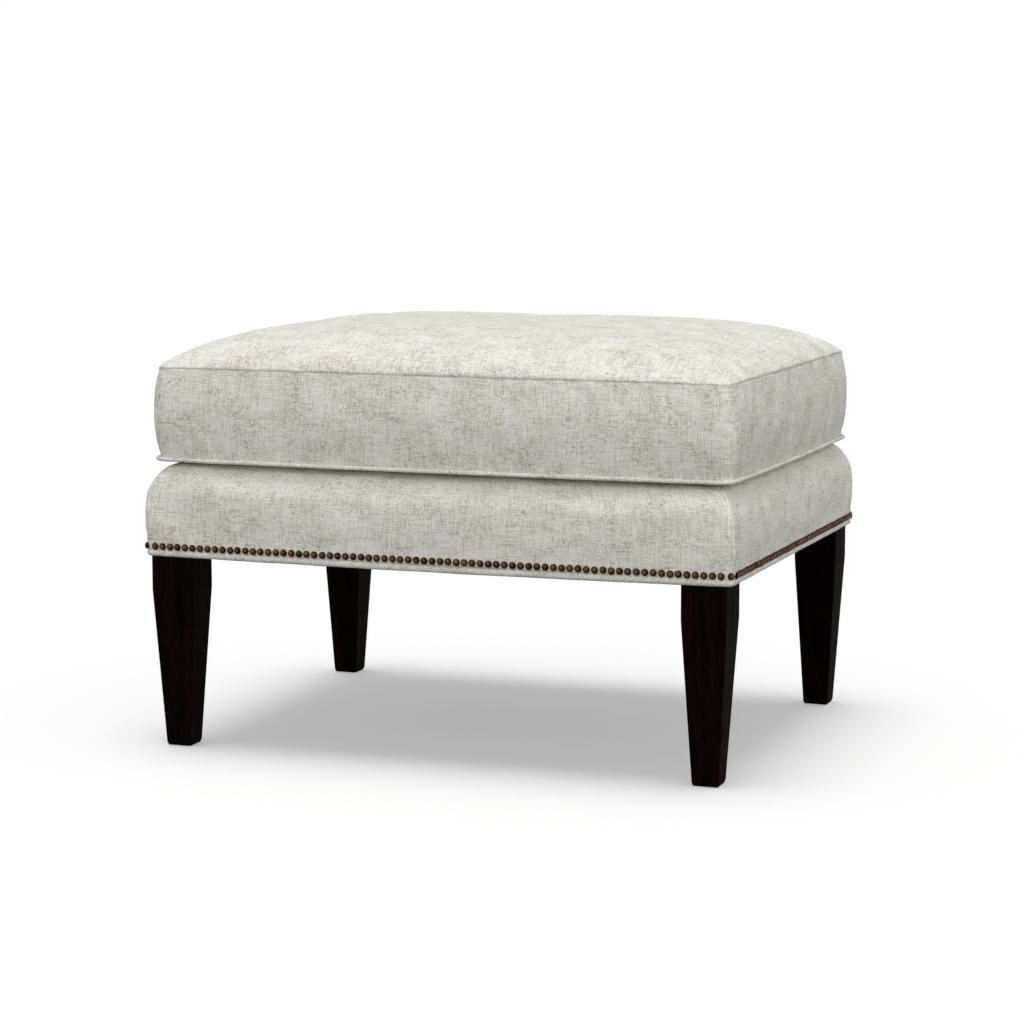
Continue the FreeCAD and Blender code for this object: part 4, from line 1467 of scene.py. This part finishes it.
def rounded_slab(
    name: str, low: Sequence[float], high: Sequence[float], spacing: float, edge: float
) -> bpy.types.Object:
    """Closed slab with a gridded top and bottom and eased edges, in millimetres.

    Args:
        name: Name of the object.
        low: Its low corner.
        high: Its high corner.
        spacing: Size of its cells.
        edge: Width of the eased edge.

    Returns:
        The slab.
    """
    counts = [max(2, round((high[i] - low[i]) / spacing)) for i in range(2)]
    lines = []
    for i in range(2):
        inner = np.linspace(low[i] + edge, high[i] - edge, counts[i] + 1)
        lines.append(np.concatenate([[low[i]], inner, [high[i]]]))
    x, y = np.meshgrid(*lines)
    maker = MeshMaker()
    grids = []
    for height in (high[2], low[2]):
        points = np.stack([x, y, np.full(x.shape, height)], axis=-1)
        grids.append(maker.add_points(points))
    places = np.stack([x, y, np.full(x.shape, 2000.0)], axis=-1)
    maker.add_grid(grids[0], places)
    maker.add_grid(grids[1], places, flipped=True)
    ring = [np.concatenate([g[0, :-1], g[:-1, -1], g[-1, :0:-1], g[:0:-1, 0]]) for g in grids]
    wall = np.stack(ring)
    wall = np.concatenate([wall, wall[:, :1]], axis=1)
    flat = np.concatenate(maker.points)[wall]
    run = path_lengths(flat, 1)
    fall = path_lengths(flat, 0)
    maker.add_grid(wall, np.stack([run, fall, np.full(run.shape, 2100.0)], axis=-1), flipped=True)
    return maker.build(name)


@dataclass
class Zip:
    """Zip in the back of the cushion: its tape and moulded teeth, built here; its stops, slider and pull
    stay CAD nodes.
    """

    tooth_pitch: float = 1.3
    tooth_reach: float = 2.9
    tooth_cross: float = 0.7
    tooth_width: float = 1.05
    tooth_root: float = 0.9  # from its foot to where it starts to narrow
    tooth_bevel: float = 0.28
    tape_gap: float = 0.2  # behind the teeth
    tape_thickness: float = 1.2
    tape_cell: float = 4.0
    tape_edge: float = 0.5

    def teeth(self) -> bpy.types.Object:
        """Builds the meshed teeth, alternately from above and below.

        Returns:
            The row of teeth.
        """
        low, high = (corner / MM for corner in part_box("zip_teeth"))
        middle = (low.z + high.z) / 2
        half = self.tooth_width / 2
        maker = MeshMaker()
        count = int((high.x - low.x) / self.tooth_pitch)
        start = (low.x + high.x) / 2 - (count - 1) * self.tooth_pitch / 2
        for number in range(count):
            x = start + number * self.tooth_pitch
            way = 1 if number % 2 else -1
            near = middle - way * self.tooth_cross
            far = middle + way * min(self.tooth_reach, (high.z - low.z) / 2)
            rings = []
            for y, ease in ((low.y, 0.0), (low.y + self.tooth_root, 0.0), (high.y, self.tooth_bevel)):
                corners = [
                    (x - half + ease, y, near + way * ease),
                    (x + half - ease, y, near + way * ease),
                    (x + half - ease, y, far - way * ease),
                    (x - half + ease, y, far - way * ease),
                ]
                rings.append(corners if way > 0 else corners[::-1])
            grid = maker.add_points(np.array(rings))
            closed = np.concatenate([grid, grid[:, :1]], axis=1)
            maker.add_grid(closed, np.zeros((*closed.shape, 3)))
            for row, flipped in ((0, False), (-1, True)):
                cap = np.array([[grid[row, 0], grid[row, 1]], [grid[row, 3], grid[row, 2]]])
                maker.add_grid(cap, np.zeros((2, 2, 3)), flipped=flipped)
        teeth = maker.build("zip_tooth_row")
        for polygon in teeth.data.polygons:
            polygon.use_smooth = False
        return teeth

    def tape(self) -> bpy.types.Object:
        """Builds the tape under the teeth.

        Returns:
            The tape.
        """
        low, high = (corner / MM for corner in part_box("zip_tape"))
        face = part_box("zip_teeth")[0].y / MM - self.tape_gap
        near = (low.x, face - self.tape_thickness, low.z)
        far = (high.x, face, high.z)
        return rounded_slab("zip_woven_tape", near, far, self.tape_cell, self.tape_edge)


@dataclass(frozen=True)
class Lamp:
    """Soft distant lamp."""

    name: str
    way: tuple[float, float, float]  # from the lamp towards the object
    strength: float  # share of full light on a matt surface that faces the lamp
    spread: float  # angular size in degrees, which softens the shadow
    on_floor: bool  # whether it also lights the floor, and so casts a shadow there


@dataclass
class Stage:
    """Floor, lamps, world and camera."""

    floor_half: float = 30.0  # metres
    floor_bounce: float = 0.25  # share of its colour that the floor shows to bounced light
    floor_lift: float = 0.35  # light added to the floor where the camera or a gloss sees it
    world_level: float = 0.3  # even light on the object
    yaw: float = 0.3480  # radians, and pitch too
    pitch: float = 0.1307
    focal: float = 102.97  # millimetres, as are the sensor and the camera's place
    sensor: float = 36.0
    camera_place: tuple[float, float, float] = (1191.18, -3284.29, 716.88)
    lamps: tuple[Lamp, ...] = (
        Lamp("overhead", (0.04, 0.0, -1.0), 0.4, 32.0, on_floor=True),
        Lamp("front_fill", (0.1, 1.0, -0.45), 0.46, 40.0, on_floor=False),
        Lamp("right_fill", (-1.0, 0.1, -0.5), 0.41, 40.0, on_floor=False),
    )

    def floor(self) -> None:
        """Lays a pale floor that shows white in full light and keeps the shadow."""
        material, tree = new_material("matt_paper_floor")
        grain = add_node(tree, "TexNoise", {"Scale": 3.0, "Detail": 1.0})
        tone = add_node(
            tree,
            "MapRange",
            {"Value": grain.outputs["Fac"], "To Min": 0.99, "To Max": 1.0},
        )
        colour = add_node(
            tree, "VectorMath", {0: linear("#FAFAFA")[:3], 3: tone.outputs[0]}, operation="SCALE"
        )
        seen = white_rays(tree)
        level = add_node(tree, "MapRange", {"Value": seen, "To Min": self.floor_bounce, "To Max": 1.0})
        toned = add_node(
            tree, "VectorMath", {0: colour.outputs[0], 3: level.outputs[0]}, operation="SCALE"
        )
        matt = add_node(tree, "BsdfDiffuse", {"Color": toned.outputs[0]})
        lift = add_node(tree, "Math", {0: seen, 1: self.floor_lift}, operation="MULTIPLY")
        glow = add_node(tree, "Emission", {"Color": (1, 1, 1, 1), "Strength": lift.outputs[0]})
        both = add_node(tree, "AddShader", {0: matt.outputs[0], 1: glow.outputs[0]})
        add_node(tree, "OutputMaterial", {"Surface": both.outputs[0]})
        half = self.floor_half
        mesh = bpy.data.meshes.new("studio_floor")
        corners = [(-half, -half, 0), (half, -half, 0), (half, half, 0), (-half, half, 0)]
        mesh.from_pydata(corners, [], [(0, 1, 2, 3)])
        floor = bpy.data.objects.new("studio_floor", mesh)
        bpy.context.scene.collection.objects.link(floor)
        dress(floor, material)
        self.not_floor = bpy.data.collections.new("all_but_the_floor")
        self.not_floor.objects.link(floor)
        self.not_floor.collection_objects[0].light_linking.link_state = "EXCLUDE"

    def world(self, strength: float) -> None:
        """Lights the scene evenly and shows white behind it.

        Args:
            strength: Level of the even light on the object.
        """
        world = bpy.data.worlds.new("white_studio")
        bpy.context.scene.world = world
        world.use_nodes = True
        tree = world.node_tree
        tree.nodes.clear()
        seen = white_rays(tree)
        level = add_node(tree, "MapRange", {"Value": seen, "To Min": strength, "To Max": 1.0})
        background = add_node(
            tree, "Background", {"Color": (1, 1, 1, 1), "Strength": level.outputs[0]}
        )
        add_node(tree, "OutputWorld", {"Surface": background.outputs[0]})

    def hang(self, lamp: Lamp) -> None:
        """Adds a lamp to the scene.

        Args:
            lamp: The lamp.
        """
        data = bpy.data.lights.new(lamp.name, "SUN")
        data.energy = lamp.strength * math.pi
        data.angle = math.radians(lamp.spread)
        sun = bpy.data.objects.new(lamp.name, data)
        bpy.context.scene.collection.objects.link(sun)
        sun.rotation_mode = "QUATERNION"
        sun.rotation_quaternion = Vector(lamp.way).to_track_quat("-Z", "Y")
        if not lamp.on_floor:
            sun.light_linking.receiver_collection = self.not_floor
            sun.visible_glossy = False

    def camera(self) -> None:
        """Places the camera at the photograph's viewing angle."""
        data = bpy.data.cameras.new("main_camera")
        data.lens = self.focal
        data.sensor_width = self.sensor
        data.clip_end = 100.0
        camera = bpy.data.objects.new("main_camera", data)
        bpy.context.scene.collection.objects.link(camera)
        camera.location = Vector(self.camera_place) * MM
        way = Vector(
            (
                -math.sin(self.yaw) * math.cos(self.pitch),
                math.cos(self.yaw) * math.cos(self.pitch),
                -math.sin(self.pitch),
            )
        )
        camera.rotation_mode = "QUATERNION"
        camera.rotation_quaternion = way.to_track_quat("-Z", "Y")
        bpy.context.scene.camera = camera

    def build(self) -> None:
        """Sets the whole stage."""
        self.floor()
        self.world(self.world_level)
        for lamp in self.lamps:
            self.hang(lamp)
        self.camera()
        bpy.context.scene.view_settings.view_transform = "Standard"


@dataclass
class Finishes:
    """Materials of the stool, each made once."""

    made: dict[str, bpy.types.Material] = field(default_factory=dict)

    def get(self, finish: object) -> bpy.types.Material:
        """Makes a finish's material the first time it is asked for.

        Args:
            finish: The finish, with a name and a make method.

        Returns:
            The material.
        """
        if finish.name not in self.made:
            self.made[finish.name] = finish.make()
        return self.made[finish.name]


# Straight on the panels, and on the bias round the welts, where its streaks run slantwise
COVER_CLOTH = MelangeLinen()
WELT_CLOTH = MelangeLinen(name="bias_cut_melange_linen", cut=Cut.BIAS)
# Unbleached cotton: flat, warm and matt
DECK_CLOTH = PlainCloth("calico_deck_cloth", "#CFC8B8", "#B5AD9B")
# Non-woven cloth: nearly black, with no shine
DUST_CLOTH = PlainCloth("black_nonwoven_dust_cloth", "#1B1A1A", "#0F0E0E", yarn=0.9)
# Woven tape: pale and matt, with a fine grid
TAPE_CLOTH = PlainCloth("woven_zip_tape", "#CDC8BC", "#A9A397", yarn=0.8)
# Ash stained nearly black: fine open pores and hardly any shine
LEG_WOOD = Wood(
    "espresso_stained_ash",
    "#1A0A07",
    "#050202",
    Grain.ALONG_Z,
    roughness=0.6,
    shine=0.01,
    pore_depth=0.9,
)
# Planed beech without a coat: warm, pale and dull
RAIL_WOOD = Wood("planed_beech_rail", "#D0A676", "#B4875A", Grain.ALONG_X, pore_width=0.7, roughness=0.6)
END_WOOD = Wood("planed_beech_end_rail", "#D0A676", "#B4875A", Grain.ALONG_Y, pore_width=0.7, roughness=0.6)
# Wire hardened in oil: dark grey with a dull shine
SPRING_STEEL = Metal("oil_tempered_spring_steel", "#4A4B4F", "#2C2C2F", roughness=0.4, patch=6.0)
# Bright zinc: pale grey and slightly cloudy
ZINC_STEEL = Metal("zinc_plated_steel", "#B9BCC0", "#8F9296", roughness=0.32, patch=4.0)
# Brass with a dark patina, worn bright on each crown, with a painted highlight on the upper half of each
# head and painted shade on the lower half
NAIL_BRASS = Metal("antiqued_brass", "#8E6242", "#120B07", roughness=0.34, patch=7.0, wear_and_highlight=True)
# Nickel over cast zinc: pale, warm and smooth
ZIP_METAL = Metal("nickel_plated_zinc", "#B5B2AA", "#8B8880", roughness=0.25, patch=5.0)
# Moulded nylon: off-white with a soft shine
ZIP_NYLON = Plastic("moulded_nylon_teeth", "#C9C4B6")
GLIDE_NYLON = Plastic("moulded_nylon_glide", "#D9D6CE", roughness=0.5)

LEGS = ("front_left", "front_right", "back_right", "back_left")
RIGID_GROUPS: tuple[tuple[object, tuple[str, ...]], ...] = (
    (RAIL_WOOD, ("rail_front", "rail_back")),
    (END_WOOD, ("rail_left", "rail_right", "rail_dowels", "centre_stretcher")),
    (RAIL_WOOD, ("corner_blocks",)),
    (ZINC_STEEL, ("corner_block_screws",)),
    (LEG_WOOD, tuple(f"leg_{leg}" for leg in LEGS)),
    (ZINC_STEEL, ("leg_bolts", "leg_bolt_washers", "leg_bolt_nuts")),
    (GLIDE_NYLON, ("foot_glides",)),
    (SPRING_STEEL, tuple(f"spring_{number}" for number in range(1, 6))),
    (ZINC_STEEL, ("spring_clips",)),
    (ZIP_METAL, ("zip_stops", "zip_slider", "zip_pull")),
)


@dataclass
class Footstool:
    """The whole stool, built piece by piece round its frame."""

    pad_depth: float = 24.0
    pad_cell: float = 16.0
    pad_edge: float = 1.2
    leg_gap: float = 1.0  # between a leg and its notch in the dust cloth
    dust_drop: float = 0.25  # from the underside of the rails to the cloth
    dust_sag: float = 1.2
    dust_lump: float = 0.35
    dust_thickness: float = 0.4
    finishes: Finishes = field(default_factory=Finishes)

    def place(
        self,
        obj: bpy.types.Object,
        body: str,
        finish: object,
        slot: str,
        nodes: Sequence[str],
    ) -> None:
        """Dresses a piece and ties it to the frame.

        Args:
            obj: The piece.
            body: CAD body that it rides on.
            finish: Its finish.
            slot: Material slot of the record; not used.
            nodes: CAD nodes that it stands for.
        """
        dress(obj, self.finishes.get(finish))
        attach(obj, body)
        if nodes:
            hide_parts(*nodes)
        LOG.info("%s on %s", obj.name, body)

    def rigid(self) -> None:
        """Dresses the CAD nodes that keep their own shape."""
        for finish, names in RIGID_GROUPS:
            for name in names:
                dress(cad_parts[name], self.finishes.get(finish))

    def base(self) -> None:
        """Builds the cover, welt and nails of the base, and its two flat cloths."""
        for side, band in BaseCover().bands().items():
            nodes = [f"band_{side}", f"border_pad_{side}", f"edge_roll_{side}"]
            self.place(band, "root", COVER_CLOTH, "cover_fabric", nodes)
        self.place(BaseWelt().build(), "root", WELT_CLOTH, "cover_fabric", ["base_welt"])
        for side, row in NailTrim().build().items():
            self.place(row, "root", NAIL_BRASS, "nail_brass", [f"nailheads_{side}"])
        low, high = (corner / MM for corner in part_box("deck_cloth"))
        pad_low = (low.x, low.y, high.z - self.pad_depth)
        deck = rounded_slab("deck_pad", pad_low, tuple(high), self.pad_cell, self.pad_edge)
        nodes = ["deck_cloth", "deck_foam", "spring_insulator"]
        self.place(deck, "root", DECK_CLOTH, "deck_fabric", nodes)
        self.dust_cover()

    def dust_cover(self) -> None:
        """Builds the dust cloth under the frame, cut round the legs."""
        low, high = (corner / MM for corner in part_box("dust_cover"))
        leg_low, _ = (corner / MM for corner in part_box("leg_back_right"))
        notch_x = leg_low.x - self.leg_gap
        notch_y = leg_low.y - self.leg_gap
        lines_x = np.unique(np.concatenate([np.linspace(-notch_x, notch_x, 41), [low.x, high.x]]))
        lines_y = np.unique(np.concatenate([np.linspace(-notch_y, notch_y, 31), [low.y, high.y]]))
        x, y = np.meshgrid(lines_x, lines_y)
        sag = self.dust_sag * (1 - (x / high.x) ** 2) * (1 - (y / high.y) ** 2)
        lumps = self.dust_lump * unevenness(np.stack([x, y, 0 * x], axis=-1), 40.0, 3.0)
        level = high.z - self.dust_drop - sag + lumps * (sag > 0.05)
        points = np.stack([x, y, level], axis=-1)
        maker = MeshMaker()
        grid = maker.add_points(points)
        places = np.stack([x, y, np.full(x.shape, 2500.0)], axis=-1)
        maker.add_grid(grid[:, 1:-1], places[:, 1:-1], flipped=True)
        maker.add_grid(grid[1:-1, :2], places[1:-1, :2], flipped=True)
        maker.add_grid(grid[1:-1, -2:], places[1:-1, -2:], flipped=True)
        sheet = maker.build("dust_cloth")
        remove_loose(sheet)
        solid = sheet.modifiers.new("Thickness", "SOLIDIFY")
        solid.thickness = self.dust_thickness * MM
        solid.offset = 0
        self.place(sheet, "root", DUST_CLOTH, "dust_cloth", ["dust_cover"])

    def cushion(self) -> None:
        """Builds the loose cushion with its welt and zip."""
        cushion = Cushion()
        cover = cushion.cover()
        nodes = ["cushion_top_panel", "cushion_bottom_panel", "cushion_boxing"]
        nodes += ["cushion_zip_boxing", "cushion_wrap", "cushion_core"]
        self.place(cover, "cushion", COVER_CLOTH, "cover_fabric", nodes)
        self.place(cushion.welt(), "cushion", WELT_CLOTH, "cover_fabric", ["cushion_welt"])
        closing = Zip()
        self.place(closing.teeth(), "cushion", ZIP_NYLON, "zip_plastic", ["zip_teeth"])
        self.place(closing.tape(), "cushion", TAPE_CLOTH, "zip_plastic", ["zip_tape"])

    def build(self) -> None:
        """Builds everything."""
        self.rigid()
        self.base()
        self.cushion()


def main() -> None:
    """Builds the stage and the stool."""
    logging.basicConfig(level=logging.INFO)
    Stage().build()
    Footstool().build()


if __name__ == "__main__":
    main()
